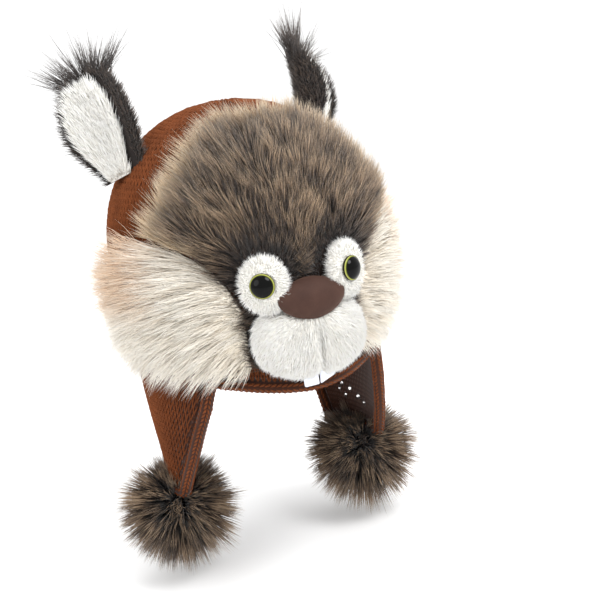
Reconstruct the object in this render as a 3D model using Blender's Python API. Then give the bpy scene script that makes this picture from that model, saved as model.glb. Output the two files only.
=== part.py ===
"""A knitted animal hat: a hollow knit crown with two earflaps, a fur mask, a muzzle, ears and pompoms.

Metres, +Z up, the mask faces -Y and the wearer's left is +X. The origin is the inside of the crown's top,
where the hat sits on a head. Turns are degrees round the head from the front, positive towards +X. Drops
are heights below the crown's outer top. A lift is a distance out of the knit's outer face.
"""

import bmesh
import bpy
from math import asin, atan2, ceil, cos, degrees, pi, radians, sin, sqrt
from mathutils import Matrix, Vector

# The knit crown, over its outer face
KNIT_WALL = 0.0045
CROWN_WIDTH = 0.180
CROWN_LENGTH = 0.206
CROWN_HEIGHT = 0.164
WIDEST_DROP = 0.095
RIM_SHARE = 0.92
DOME_POWER = 2.1
FRONT_DIP = 0.008

# The earflaps, grown from the rim, and the crocheted edging round every free edge
FLAP_LENGTH = 0.084
FLAP_LEAN = 0.1
FLAP_CURL = 0.011
EDGING_THICKNESS = 0.0075
SEAT_GAP = 0.0004
# A flap's front and back edges as turns, along its length from the rim to the tip
FLAP_SHAPE = (
    {"along": 0.00, "front": 51.0, "back": 142.0},
    {"along": 0.25, "front": 56.0, "back": 131.0},
    {"along": 0.50, "front": 62.5, "back": 122.0},
    {"along": 0.75, "front": 69.0, "back": 114.0},
    {"along": 1.00, "front": 76.0, "back": 106.0},
)

# The mask is sewn on a little off the flaps' middle
MASK_TURN = -6.0
BACKING_GAP = 0.0007
PANEL_GAP = 0.0024
FOREHEAD_BASE = 0.0080
FOREHEAD_EDGE = 0.0030
FOREHEAD_PILE = 0.0065
FOREHEAD_LEAN = 0.010
CHEEK_BASE = 0.0065
CHEEK_EDGE = 0.0030
CHEEK_PILE = 0.012
CHEEK_LEAN = 0.015

# The forehead panel's side edge: drop as a share of the crown's height, the turn from the mask's middle,
# and the rows of locks from there to the next line
FOREHEAD_SIDE = (
    {"drop": 0.085, "turn": 22.0, "rows": 1},
    {"drop": 0.110, "turn": 31.0, "rows": 1},
    {"drop": 0.155, "turn": 37.0, "rows": 2},
    {"drop": 0.250, "turn": 44.5, "rows": 2},
    {"drop": 0.350, "turn": 50.5, "rows": 2},
    {"drop": 0.445, "turn": 56.5, "rows": 2},
    {"drop": 0.475, "turn": 48.0, "rows": 1},
    {"drop": 0.505, "turn": 38.5, "rows": 1},
    {"drop": 0.555, "turn": 31.5, "rows": 1},
    {"drop": 0.620, "turn": 26.5, "rows": 2},
    {"drop": 0.720, "turn": 22.0, "rows": 3},
    {"drop": 0.955, "turn": 21.5, "rows": 0},
)
# The cheek panel's top edge, from the mask's corner backwards, measured the same way
CHEEK_TOP = (
    {"turn": 22.0, "drop": 0.720},
    {"turn": 26.5, "drop": 0.620},
    {"turn": 31.5, "drop": 0.555},
    {"turn": 38.5, "drop": 0.505},
    {"turn": 48.0, "drop": 0.475},
    {"turn": 56.5, "drop": 0.455},
    {"turn": 66.0, "drop": 0.462},
    {"turn": 80.0, "drop": 0.540},
    {"turn": 96.0, "drop": 0.620},
    {"turn": 107.0, "drop": 0.700},
)
CHEEK_BOTTOM = 0.960

# Muzzle, nose and teeth
MUZZLE_WIDTH = 0.078
MUZZLE_HEIGHT = 0.048
MUZZLE_DROP = 0.1375
MUZZLE_BACK = 0.0030
MUZZLE_STAND = 0.031
MUZZLE_JUT = 0.22
MUZZLE_SEAM = 0.17
NOSE_WIDTH = 0.045
NOSE_HEIGHT = 0.027
NOSE_THICKNESS = 0.020
NOSE_DROP = 0.1110
NOSE_LIFT = 0.0160
NOSE_TILT = 22.0
TOOTH_WIDTH = 0.0095
TOOTH_LENGTH = 0.0150
TOOTH_THICKNESS = 0.0020
TOOTH_GAP = 0.0011
TOOTH_TIP_DROP = 0.1650
TOOTH_LIFT = 0.0220
TOOTH_SPLAY = 2.0

# Plush eye patches and domed eyes
PATCH_WIDTH = 0.0285
PATCH_HEIGHT = 0.0335
PATCH_THICKNESS = 0.0075
PATCH_TURN = 15.0
PATCH_DROP = 0.1005
PATCH_LIFT = 0.0165
PATCH_SPLAY = 28.0
PATCH_POINT = 0.10
PATCH_CLEAR = 0.030
EYE_DIAMETER = 0.0155
EYE_HEIGHT = 0.0052

# Ears: each is set and turned by itself, as soft ears are
EAR_LENGTH = 0.072
EAR_WIDTH = 0.050
EAR_THICKNESS = 0.0065
EAR_BOW = 0.10
EAR_ROOT = 0.010
LINING_THICKNESS = 0.0040
LINING_INSET = 0.0030
LINING_INSET_FRONT = 0.0090
LINING_STAND = 0.0020
EARS = (
    {"name": "right", "side": -1, "turn": 91.0, "drop": 0.041, "facing": 48.0, "lean": 22.0, "curl": 42.0},
    {"name": "left", "side": 1, "turn": 105.0, "drop": 0.048, "facing": 52.0, "lean": 17.0, "curl": 96.0},
)
# The ear's half width along its length, as shares of its length and of half its width
EAR_OUTLINE = (
    {"along": 0.00, "half": 0.58},
    {"along": 0.18, "half": 0.76},
    {"along": 0.40, "half": 0.97},
    {"along": 0.60, "half": 1.00},
    {"along": 0.80, "half": 0.88},
    {"along": 0.93, "half": 0.66},
    {"along": 1.00, "half": 0.44},
)
TUFT_ROOT_HEIGHT = 0.007
TUFT_LENGTH = 0.042
TUFT_FAN = 1.8

# Fur pompoms on the flaps' tips
POMPOM_DIAMETER = 0.077
POMPOM_CORE = 0.040
POMPOM_SEAT = 0.75
POMPOM_BARE = 0.64
POMPOM_SLOT = 0.018
POMPOM_RINGS = 9
POMPOM_SPOKES = 15

KNIT_COLUMNS = {"front": 14, "flap": 11, "back": 12}
DOME_ROWS = 8
WALL_ROWS = 4
FLAP_ROWS = 6
NUDGE = 1e-4


def between(table, key, value, at):
    """A column of a table read at a point between its rows."""
    rows = sorted(table, key=lambda row: row[key])
    if at <= rows[0][key]:
        return rows[0][value]
    for low, high in zip(rows, rows[1:]):
        if at <= high[key]:
            share = (at - low[key]) / (high[key] - low[key])
            return low[value] + share * (high[value] - low[value])
    return rows[-1][value]


def smooth(share):
    share = min(1.0, max(0.0, share))
    return share * share * (3 - 2 * share)


def hashed(i, j):
    """A fixed number from 0 to 1 for a pair of indices."""
    value = sin(12.9898 * i + 78.233 * j) * 43758.5453
    return value - int(value) if value >= 0 else 1 + value - int(value)


# The knit's outer face, which every other piece is placed on


def level_share(drop):
    """How wide the crown is at a drop, as a share of its widest level."""
    if drop < WIDEST_DROP:
        level = 1 - max(drop, 0.0) / WIDEST_DROP
        return max(1 - level**DOME_POWER, 0.0) ** (1 / DOME_POWER)
    wall = CROWN_HEIGHT - WIDEST_DROP
    if drop < CROWN_HEIGHT:
        return 1 - (1 - RIM_SHARE) * ((drop - WIDEST_DROP) / wall) ** 2
    return RIM_SHARE - FLAP_LEAN * (drop - CROWN_HEIGHT)


def on_level(turn, drop):
    share = level_share(drop)
    angle = radians(turn)
    return Vector((
        CROWN_WIDTH / 2 * share * sin(angle),
        -CROWN_LENGTH / 2 * share * cos(angle),
        KNIT_WALL - drop,
    ))


def outward(turn, drop):
    """The direction straight out of the knit."""
    if drop < NUDGE:
        return Vector((0, 0, 1))
    step = min(NUDGE, drop / 2)
    along = on_level(turn + 0.1, drop) - on_level(turn - 0.1, drop)
    down = on_level(turn, drop + step) - on_level(turn, drop - step)
    return down.cross(along).normalized()


def on_knit(turn, drop, lift=0.0):
    return on_level(turn, drop) + lift * outward(turn, drop)


def on_mask(turn, drop, lift=0.0):
    """The same place, with the turn measured from the mask's middle."""
    return on_knit(turn + MASK_TURN, drop, lift)


def rim_drop(turn):
    """The rim dips at the front, where the muzzle weighs on it."""
    turn = (turn + 180) % 360 - 180
    dip = FRONT_DIP * smooth(1 - abs(turn) / FLAP_SHAPE[0]["front"])
    return CROWN_HEIGHT + dip


# Making objects


def material(name, colour, roughness, metallic=0.0):
    made = bpy.data.materials.get(name) or bpy.data.materials.new(name)
    made.use_nodes = True
    shader = made.node_tree.nodes["Principled BSDF"]
    shader.inputs["Base Color"].default_value = (*colour, 1.0)
    shader.inputs["Roughness"].default_value = roughness
    shader.inputs["Metallic"].default_value = metallic
    return made


def materials():
    return {
        "knit": material("rust_knit", (0.17, 0.050, 0.020), 0.95),
        "edging": material("rust_crochet", (0.15, 0.043, 0.017), 0.95),
        "fur": material("brown_fur", (0.085, 0.060, 0.042), 0.85),
        "white_fur": material("cream_fur", (0.78, 0.72, 0.62), 0.85),
        "plush": material("white_plush", (0.82, 0.81, 0.77), 0.9),
        "dark_fur": material("dark_fur", (0.030, 0.022, 0.018), 0.85),
        "velour": material("brown_velour", (0.060, 0.028, 0.020), 0.6),
        "eye": material("eye_plastic", (0.010, 0.010, 0.008), 0.08),
        "felt": material("white_felt", (0.80, 0.82, 0.90), 0.9),
    }


def add_object(name, bm, finish, helper=False):
    bmesh.ops.remove_doubles(bm, verts=bm.verts, dist=1e-6)
    bmesh.ops.recalc_face_normals(bm, faces=bm.faces)
    mesh = bpy.data.meshes.new(name)
    bm.to_mesh(mesh)
    bm.free()
    mesh.shade_smooth()
    mesh.set_sharp_from_angle(angle=radians(50))
    made = bpy.data.objects.new(name, mesh)
    mesh.materials.append(finish)
    bpy.context.scene.collection.objects.link(made)
    if helper:
        made.hide_render = True
        made.display_type = "WIRE"
    return made


def cut(target, cutter):
    """Takes the cutter out of the target. The cutter stays as a hidden helper."""
    modifier = target.modifiers.new("seat_" + cutter.name, "BOOLEAN")
    modifier.operation = "DIFFERENCE"
    modifier.solver = "EXACT"
    modifier.object = cutter


def skin_grid(bm, rows, loop_columns=False):
    """Quads through rows of points. Returns the rows of vertices."""
    made = [[bm.verts.new(point) for point in row] for row in rows]
    for upper, lower in zip(made, made[1:]):
        count = len(upper)
        for i in range(count if loop_columns else count - 1):
            j = (i + 1) % count
            bm.faces.new((upper[i], upper[j], lower[j], lower[i]))
    return made


def stitch(bm, first, second, closed=False):
    """Quads between two lines of vertices."""
    count = len(first)
    for i in range(count if closed else count - 1):
        j = (i + 1) % count
        bm.faces.new((first[i], first[j], second[j], second[i]))


# The knit body


def knit_turns():
    """The columns' turns, with one on each corner of the flaps, and where each flap's columns start."""
    front, back = FLAP_SHAPE[0]["front"], FLAP_SHAPE[0]["back"]
    spans = (
        (-front, front, KNIT_COLUMNS["front"]),
        (front, back, KNIT_COLUMNS["flap"]),
        (back, 360 - back, KNIT_COLUMNS["back"]),
        (360 - back, 360 - front, KNIT_COLUMNS["flap"]),
    )
    turns = [low + (high - low) * i / count for low, high, count in spans for i in range(count)]
    left = KNIT_COLUMNS["front"]
    right = left + KNIT_COLUMNS["flap"] + KNIT_COLUMNS["back"]
    return turns, left, right


def on_flap(side, share, along, lift=0.0):
    """A place on a flap, share of the way from its front to its back edge, which curls in to the neck."""

    def at(share, along):
        front = between(FLAP_SHAPE, "along", "front", along)
        back = between(FLAP_SHAPE, "along", "back", along)
        turn = side * (front + (back - front) * share)
        inward = FLAP_CURL * max(share, 0.0) ** 1.6 * max(along, 0.0) ** 1.3
        return on_level(turn, CROWN_HEIGHT + FLAP_LENGTH * along) - inward * outward(turn, CROWN_HEIGHT)

    step = 0.01
    across = side * (at(share + step, along) - at(share - step, along))
    down = at(share, along + step) - at(share, along - step)
    return at(share, along) + lift * down.cross(across).normalized()


def knit_rows(turns, lift):
    rows = []
    for k in range(1, DOME_ROWS + 1):
        level = cos(pi / 2 * k / DOME_ROWS) ** (2 / DOME_POWER) if k < DOME_ROWS else 0.0
        rows.append([on_knit(turn, WIDEST_DROP * (1 - level), lift) for turn in turns])
    for k in range(1, WALL_ROWS + 1):
        share = k / WALL_ROWS
        drops = [WIDEST_DROP + (rim_drop(turn) - WIDEST_DROP) * share for turn in turns]
        rows.append([on_knit(turn, drop, lift) for turn, drop in zip(turns, drops)])
    return rows


def flap_rows(side, lift):
    """The flap's rows below the rim, each in the order of the growing turn."""
    count = KNIT_COLUMNS["flap"]
    shares = [i / count if side > 0 else 1 - i / count for i in range(count + 1)]
    alongs = [k / FLAP_ROWS for k in range(1, FLAP_ROWS + 1)]
    return [[on_flap(side, share, at, lift) for share in shares] for at in alongs]


def knit_face(bm, turns, starts, lift):
    """One face of the knit. Returns its free edge as a loop of vertices."""
    turns = turns + [turns[0] + 360]
    count = len(turns) - 1
    rows = skin_grid(bm, knit_rows(turns[:-1], lift), loop_columns=True)
    top = bm.verts.new((0, 0, KNIT_WALL + lift))
    for i in range(count):
        bm.faces.new((top, rows[0][i], rows[0][(i + 1) % count]))
    rim = rows[-1]
    edge = []
    span = KNIT_COLUMNS["flap"]
    previous = 0
    for side, first in starts:
        edge += rim[previous : first + 1]
        upper = [rim[(first + i) % count] for i in range(span + 1)]
        below = [[bm.verts.new(point) for point in row] for row in flap_rows(side, lift)]
        for above, row in zip([upper] + below, below):
            for i in range(span):
                bm.faces.new((above[i], above[i + 1], row[i + 1], row[i]))
        edge += [row[0] for row in below[:-1]]
        edge += below[-1]
        edge += [row[-1] for row in reversed(below[:-1])]
        previous = first + span
    if previous < count:
        edge += rim[previous:]
    return edge


def make_knit(finish):
    """The crown and its two earflaps, one hollow wall, and the free edge that the edging follows."""
    turns, left, right = knit_turns()
    bm = bmesh.new()
    starts = ((1, left), (-1, right))
    outer = knit_face(bm, turns, starts, 0.0)
    inner = knit_face(bm, turns, starts, -KNIT_WALL)
    stitch(bm, outer, inner, closed=True)
    edge = [((a.co + b.co) / 2, (a.co - b.co).normalized()) for a, b in zip(outer, inner)]
    add_object("knit_crown", bm, finish)
    return edge


def edging_path(edge, reach):
    """The free edge moved out past itself by reach, mitred at its corners, with the directions there."""
    points = [point for point, out in edge]
    count = len(points)
    path = []
    for i, (point, out) in enumerate(edge):
        before = (point - points[i - 1]).normalized()
        after = (points[(i + 1) % count] - point).normalized()
        first, second = before.cross(out).normalized(), after.cross(out).normalized()
        away = (first + second) / (1 + first.dot(second))
        path.append((point + reach * away, away.normalized(), out))
    return path


def make_edging(edge, finish):
    sides = 8
    radius = EDGING_THICKNESS / 2
    bm = bmesh.new()
    rings = []
    for centre, away, out in edging_path(edge, radius + SEAT_GAP):
        ring = []
        for k in range(sides):
            angle = 2 * pi * k / sides
            ring.append(bm.verts.new(centre + radius * (cos(angle) * away + sin(angle) * out)))
        rings.append(ring)
    for ring, following in zip(rings, rings[1:] + rings[:1]):
        stitch(bm, ring, following, closed=True)
    add_object("edging", bm, finish)


# Fur panels


def fur_panel(name, places, base, pile, lay, finish, tips):
    """A fur panel over the knit. places holds rows of (turn, drop); base, pile and lay give each place's
    backing thickness, hair length and hair direction. Each outer cell is drawn out into one lock."""
    bm = bmesh.new()
    under = skin_grid(bm, [[on_mask(t, d, BACKING_GAP) for t, d in row] for row in places])
    over = skin_grid(bm, [
        [on_mask(t, d, base(i / (len(row) - 1), j / (len(places) - 1))) for i, (t, d) in enumerate(row)]
        for j, row in enumerate(places)
    ])
    stitch(bm, under[0], over[0])
    stitch(bm, under[-1], over[-1])
    stitch(bm, [row[0] for row in under], [row[0] for row in over])
    stitch(bm, [row[-1] for row in under], [row[-1] for row in over])
    for j in range(len(places) - 1):
        for i in range(len(places[0]) - 1):
            corners = (over[j][i], over[j][i + 1], over[j + 1][i + 1], over[j + 1][i])
            face = bm.faces.get(corners)
            u = (i + 0.5) / (len(places[0]) - 1)
            v = (j + 0.5) / (len(places) - 1)
            turn = sum(places[j + dj][i + di][0] for di in (0, 1) for dj in (0, 1)) / 4
            drop = sum(places[j + dj][i + di][1] for di in (0, 1) for dj in (0, 1)) / 4
            length = pile(u, v) * tips(i, j)
            middle = sum((corner.co for corner in corners), Vector()) / 4
            tip = middle + length * outward(turn + MASK_TURN, drop) + tips(i, j) * lay(turn, drop, u, v)
            poked = bmesh.ops.poke(bm, faces=[face])
            poked["verts"][0].co = tip
    return add_object(name, bm, finish)


def up_the_dome(turn, drop):
    """The direction towards the crown's top along the knit."""
    step = min(NUDGE, drop / 2)
    low, high = on_mask(turn, drop + step), on_mask(turn, drop - step)
    return (high - low).normalized()


def round_the_head(turn, drop):
    """The direction of growing turn along the knit."""
    return (on_mask(turn + 0.5, drop) - on_mask(turn - 0.5, drop)).normalized()


def make_forehead(finish):
    """The brown panel from the crown's top to the rim, narrow beside the muzzle."""
    columns = 14
    drops = []
    for line, following in zip(FOREHEAD_SIDE, FOREHEAD_SIDE[1:]):
        step = (following["drop"] - line["drop"]) / line["rows"]
        drops += [line["drop"] + step * k for k in range(line["rows"])]
    drops.append(FOREHEAD_SIDE[-1]["drop"])
    places = []
    for drop in drops:
        half = between(FOREHEAD_SIDE, "drop", "turn", drop)
        places.append([(half * (2 * i / columns - 1), drop * CROWN_HEIGHT) for i in range(columns + 1)])

    def base(u, v):
        near_side = smooth(min(u, 1 - u) / 0.22)
        near_top = smooth(v / 0.20)
        return FOREHEAD_EDGE + (FOREHEAD_BASE - FOREHEAD_EDGE) * min(near_side, near_top)

    def pile(u, v):
        return FOREHEAD_PILE * (1.0 - 0.45 * smooth((v - 0.55) / 0.3))

    def lay(turn, drop, u, v):
        away = up_the_dome(turn, drop) + 0.9 * (2 * u - 1) * round_the_head(turn, drop)
        return FOREHEAD_LEAN * (1.0 - 0.5 * smooth((v - 0.5) / 0.3)) * away.normalized()

    return fur_panel(
        "forehead_fur", places, base, pile, lay, finish, lambda i, j: 0.75 + 0.5 * hashed(i, j)
    )


def make_cheek(name, side, finish):
    """A long-haired panel from the muzzle's side round to behind the ear, down to the rim."""
    columns, rows = 13, 7
    gap_turn = degrees(PANEL_GAP / (CROWN_LENGTH / 2))
    first, last = CHEEK_TOP[0]["turn"], CHEEK_TOP[-1]["turn"]
    bottom = CHEEK_BOTTOM * CROWN_HEIGHT
    places = []
    for j in range(rows + 1):
        row = []
        for i in range(columns + 1):
            at = first + (last - first) * (i / columns) ** 1.15
            top = between(CHEEK_TOP, "turn", "drop", at) * CROWN_HEIGHT + PANEL_GAP
            row.append((side * (at + gap_turn), top + (bottom - top) * j / rows))
        places.append(row)

    def base(u, v):
        rounded = min(smooth(u / 0.15), smooth((1 - u) / 0.15), smooth(v / 0.2), smooth((1 - v) / 0.25))
        return CHEEK_EDGE + (CHEEK_BASE - CHEEK_EDGE) * rounded

    def pile(u, v):
        return CHEEK_PILE * (0.55 + 0.45 * smooth(u / 0.3)) * (1 - 0.35 * v)

    def lay(turn, drop, u, v):
        back = side * round_the_head(turn, drop)
        down = -up_the_dome(turn, drop)
        return CHEEK_LEAN * ((1 - 0.45 * v) * back + (0.12 + 0.5 * v) * down).normalized()

    return fur_panel(name, places, base, pile, lay, finish, lambda i, j: 0.8 + 0.4 * hashed(i, j))


# The face


def make_muzzle(name, finish, helper=False, grow=0.0):
    """A stuffed cushion with a seam down its middle, rounded to the knit behind it."""
    rings = (0.36, 0.62, 0.82, 0.94, 1.0)
    spokes = 28
    power = 2.5

    def footprint(angle):
        across, upward = abs(cos(angle)), abs(sin(angle))
        half_width = MUZZLE_WIDTH / 2 + grow
        half_height = MUZZLE_HEIGHT / 2 + grow
        return ((across / half_width) ** power + (upward / half_height) ** power) ** (-1 / power)

    def place(angle, share, lift):
        radius = footprint(angle) * share
        turn = degrees(radius * cos(angle) / (CROWN_LENGTH / 2))
        return on_mask(turn, MUZZLE_DROP - radius * sin(angle), lift)

    def stand(angle, share):
        rounded = max(1 - share**2.3, 0.0) ** (1 / 2.3)
        seam = MUZZLE_SEAM * smooth(share / 0.4) if sin(angle) < -0.99 else 0.0
        jut = 1 - MUZZLE_JUT * share * sin(angle)
        return (MUZZLE_STAND - MUZZLE_BACK) * rounded * (1 - seam) * jut

    bm = bmesh.new()
    angles = [pi / 2 + 2 * pi * k / spokes for k in range(spokes)]
    back, edge = MUZZLE_BACK - grow, MUZZLE_BACK + 0.004
    front = skin_grid(
        bm,
        [[place(a, r, max(edge, MUZZLE_BACK + grow + stand(a, r))) for a in angles] for r in rings],
        loop_columns=True,
    )
    behind = skin_grid(bm, [[place(a, r, back) for a in angles] for r in (0.9, 0.5)], loop_columns=True)
    stitch(bm, front[-1], behind[0], closed=True)
    for ring, lift in ((front[0], MUZZLE_STAND + grow), (behind[-1], back)):
        middle = bm.verts.new(on_mask(0, MUZZLE_DROP, lift))
        for i in range(spokes):
            bm.faces.new((middle, ring[i], ring[(i + 1) % spokes]))
    return add_object(name, bm, finish, helper)


def mask_frame(turn, drop, lift, splay, tilt):
    """A frame whose Z looks out of the mask, turned sideways by splay and up by tilt."""
    place = on_mask(turn, drop, lift)
    ahead = radians(MASK_TURN + splay)
    level = Vector((sin(ahead), -cos(ahead), 0))
    across = Vector((cos(ahead), sin(ahead), 0))
    out = (cos(radians(tilt)) * level + sin(radians(tilt)) * Vector((0, 0, 1))).normalized()
    upward = out.cross(across).normalized()
    return Matrix.Translation(place) @ Matrix((across, upward, out)).transposed().to_4x4()


def lens(name, finish, frame, outline, levels, spokes, helper=False):
    """A closed round form on a frame. levels holds (share of outline, height), from back to front."""
    bm = bmesh.new()
    rings = []
    for share, height in levels[1:-1]:
        ring = []
        for k in range(spokes):
            angle = 2 * pi * k / spokes
            radius = outline(angle) * share
            ring.append(frame @ Vector((radius * cos(angle), radius * sin(angle), height)))
        rings.append(ring)
    made = skin_grid(bm, rings, loop_columns=True)
    for ring, height in ((made[0], levels[0][1]), (made[-1], levels[-1][1])):
        middle = bm.verts.new(frame @ Vector((0, 0, height)))
        for i in range(spokes):
            bm.faces.new((middle, ring[i], ring[(i + 1) % spokes]))
    return add_object(name, bm, finish, helper)


def make_nose(name, finish, helper=False, grow=0.0):
    """A stuffed nose, arched above, deeper below and drawn out to a soft point at each side."""

    def outline(angle):
        across, upward = abs(cos(angle)), abs(sin(angle))
        deep = NOSE_HEIGHT * (0.46 if sin(angle) > 0 else 0.54) + grow
        power = 1.75
        return ((across / (NOSE_WIDTH / 2 + grow)) ** power + (upward / deep) ** power) ** (-1 / power)

    half = NOSE_THICKNESS / 2 + grow
    frame = mask_frame(0, NOSE_DROP, NOSE_LIFT, 0, NOSE_TILT)
    shares = (0, 0.5, 0.8, 0.95, 1.0, 0.95, 0.8, 0.5, 0)
    heights = [half * sqrt(1 - share * share) for share in shares]
    levels = [
        (share, height if k > 4 else -height) for k, (share, height) in enumerate(zip(shares, heights))
    ]
    return lens(name, finish, frame, outline, levels, 20, helper)


def patch_frame(side):
    return mask_frame(side * PATCH_TURN, PATCH_DROP, PATCH_LIFT, side * PATCH_SPLAY, 4.0)


def make_patch(name, side, finish, helper=False, grow=0.0, ahead=0.0):
    """A plush disc round an eye, drawn out towards the nose. A cutter also clears the hair ahead."""

    def outline(angle):
        wide, high = PATCH_WIDTH / 2, PATCH_HEIGHT / 2
        radius = 1 / sqrt((cos(angle) / wide) ** 2 + (sin(angle) / high) ** 2)
        to_nose = -pi / 2 - side * 0.5
        closeness = max(0.0, cos(angle - to_nose)) ** 6
        return radius * (1 + PATCH_POINT * closeness) + grow

    back = -PATCH_THICKNESS - grow
    flare = 1.0 + 10 * ahead
    levels = (
        (0, back),
        (0.93, back),
        (1.0, back + 0.002),
        (1.0, -0.0022),
        (0.9 * flare, ahead + grow),
        (0, ahead + grow),
    )
    return lens(name, finish, patch_frame(side), outline, levels, 20, helper)


def make_eye(name, side, finish):
    """A domed safety eye that rests on its patch."""
    radius = EYE_DIAMETER / 2
    floor = SEAT_GAP
    levels = [(0, floor), (0.97, floor), (1.0, floor + 0.0007)]
    for share in (0.93, 0.78, 0.55, 0.28):
        rise = EYE_HEIGHT * sqrt(1 - share * share)
        levels.append((share, floor + max(0.0016, rise)))
    levels.append((0, floor + EYE_HEIGHT))
    return lens(name, finish, patch_frame(side), lambda angle: radius, levels, 20)


def make_tooth(name, side, finish, helper=False, grow=0.0):
    """A felt tooth whose upper end is caught under the muzzle."""
    frame = mask_frame(0, TOOTH_TIP_DROP, TOOTH_LIFT, 0, 0)
    frame = frame @ Matrix.Rotation(radians(-side * TOOTH_SPLAY), 4, "Z")
    near, far = side * TOOTH_GAP / 2 - side * grow, side * (TOOTH_GAP / 2 + TOOTH_WIDTH) + side * grow
    corner = TOOTH_WIDTH * 0.14
    outline = [
        (near, -grow),
        (far - side * corner, -grow),
        (far, corner - grow),
        (far, TOOTH_LENGTH + grow),
        (near, TOOTH_LENGTH + grow),
    ]
    bm = bmesh.new()
    layers = []
    for height in (-TOOTH_THICKNESS / 2 - grow, TOOTH_THICKNESS / 2 + grow):
        layers.append([bm.verts.new(frame @ Vector((x, y, height))) for x, y in outline])
        bm.faces.new(layers[-1])
    stitch(bm, layers[0], layers[1], closed=True)
    return add_object(name, bm, finish, helper)


# Ears


def ear_frame(ear):
    """X across the ear, Y along it from root to tip, Z out of its lined face."""
    root = on_knit(ear["side"] * ear["turn"], ear["drop"], -KNIT_WALL)
    facing = radians(ear["side"] * ear["facing"])
    lean = radians(ear["lean"])
    out = Vector((sin(facing), -cos(facing), 0))
    sideways = Vector((ear["side"] * cos(radians(30)), 0.5, 0))
    along = (sin(lean) * sideways + cos(lean) * Vector((0, 0, 1))).normalized()
    along = (along - 0.6 * along.dot(out) * out).normalized()
    across = along.cross(out).normalized()
    out = across.cross(along).normalized()
    return Matrix.Translation(root) @ Matrix((across, along, out)).transposed().to_4x4()


def ear_sheet(ear, inset, front_inset, low, high, start, end, columns=8, rows=9):
    """A cupped leaf between two heights off the ear's lined face, as a closed form."""
    frame = ear_frame(ear)
    radius = EAR_WIDTH / 2 / radians(ear["curl"])
    bm = bmesh.new()
    faces = []
    for height in (low, high):
        points = []
        for j in range(rows + 1):
            along = start + (end - start) * j / rows
            shown = (along - EAR_ROOT) / (EAR_LENGTH - EAR_ROOT)
            half = between(EAR_OUTLINE, "along", "half", shown) * EAR_WIDTH / 2
            front, back = half - front_inset, half - inset
            row = []
            for i in range(columns + 1):
                x = -ear["side"] * (front - (front + back) * i / columns)
                angle = x / radius
                bow = -EAR_BOW * EAR_LENGTH * (along / EAR_LENGTH) ** 2
                x, z = (radius - height) * sin(angle), radius - (radius - height) * cos(angle)
                row.append(frame @ Vector((x, along, z + bow)))
            points.append(row)
        faces.append(skin_grid(bm, points))
    below, above = faces
    stitch(bm, below[0], above[0])
    stitch(bm, below[-1], above[-1])
    stitch(bm, [row[0] for row in below], [row[0] for row in above])
    stitch(bm, [row[-1] for row in below], [row[-1] for row in above])
    return bm


def make_dome_cutter(finish):
    """The crown filled in and grown by the seat's gap, which ends each ear on the knit."""
    bm = bmesh.new()
    turns = knit_turns()[0]
    rows = skin_grid(bm, knit_rows(turns, SEAT_GAP), loop_columns=True)
    top = bm.verts.new((0, 0, KNIT_WALL + SEAT_GAP))
    for i in range(len(turns)):
        bm.faces.new((top, rows[0][i], rows[0][(i + 1) % len(turns)]))
    bm.faces.new(rows[-1])
    return add_object("dome_cutter", bm, finish, helper=True)


def make_tuft(name, frame, finish):
    """Long hair from the ear's tip: a small root with its top and sides drawn out into locks."""
    spokes, rings = 8, 3
    half_wide = EAR_WIDTH / 2 * EAR_OUTLINE[-1]["half"]
    half_thick = EAR_THICKNESS / 2
    bow = -EAR_BOW * EAR_LENGTH
    middle = Vector((0, EAR_LENGTH + SEAT_GAP, bow + half_thick - EAR_THICKNESS))
    bm = bmesh.new()
    rows = []
    for j in range(rings):
        tilt = pi / 2 * j / rings
        row = []
        for k in range(spokes):
            angle = 2 * pi * k / spokes
            row.append(frame @ (middle + Vector((
                half_wide * cos(tilt) * cos(angle),
                TUFT_ROOT_HEIGHT * sin(tilt),
                half_thick * 1.3 * cos(tilt) * sin(angle),
            ))))
        rows.append(row)
    made = skin_grid(bm, rows, loop_columns=True)
    peak = bm.verts.new(frame @ (middle + Vector((0, TUFT_ROOT_HEIGHT, 0))))
    for i in range(spokes):
        bm.faces.new((peak, made[-1][i], made[-1][(i + 1) % spokes]))
    drawn = list(bm.faces)
    bm.faces.new(made[0])
    centre = frame @ middle
    along = (frame.to_3x3() @ Vector((0, 1, 0))).normalized()
    for n, face in enumerate(drawn):
        place = face.calc_center_median()
        spread = (place - centre) - (place - centre).dot(along) * along
        away = (along + TUFT_FAN * spread / half_wide).normalized()
        length = TUFT_LENGTH * (0.62 + 0.38 * hashed(n, 3))
        poked = bmesh.ops.poke(bm, faces=[face])
        poked["verts"][0].co = place + length * away
    return add_object(name, bm, finish)


def make_ear(ear, finishes, dome):
    frame = ear_frame(ear)
    name = ear["name"]
    outer = ear_sheet(ear, 0.0, 0.0, -EAR_THICKNESS, 0.0, 0.0, EAR_LENGTH)
    back = add_object("ear_back_" + name, outer, finishes["dark_fur"])
    end = EAR_LENGTH - LINING_INSET
    inner = ear_sheet(
        ear, LINING_INSET, LINING_INSET_FRONT, SEAT_GAP, LINING_THICKNESS, LINING_STAND, end, 6, 7
    )
    lining = add_object("ear_lining_" + name, inner, finishes["plush"])
    cut(back, dome)
    cut(lining, dome)
    make_tuft("ear_tuft_" + name, frame, finishes["dark_fur"])


# Pompoms


def tip_place(side):
    """The middle of a flap's tip edge, and the directions across the tip, down it and out of it."""
    middle = on_flap(side, 0.5, 1.0, -KNIT_WALL / 2)
    across = (on_flap(side, 1.0, 1.0) - on_flap(side, 0.0, 1.0)).normalized()
    down = (on_flap(side, 0.5, 1.0) - on_flap(side, 0.5, 0.9)).normalized()
    out = across.cross(down).normalized()
    return middle, down.cross(out).normalized(), down, out


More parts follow.
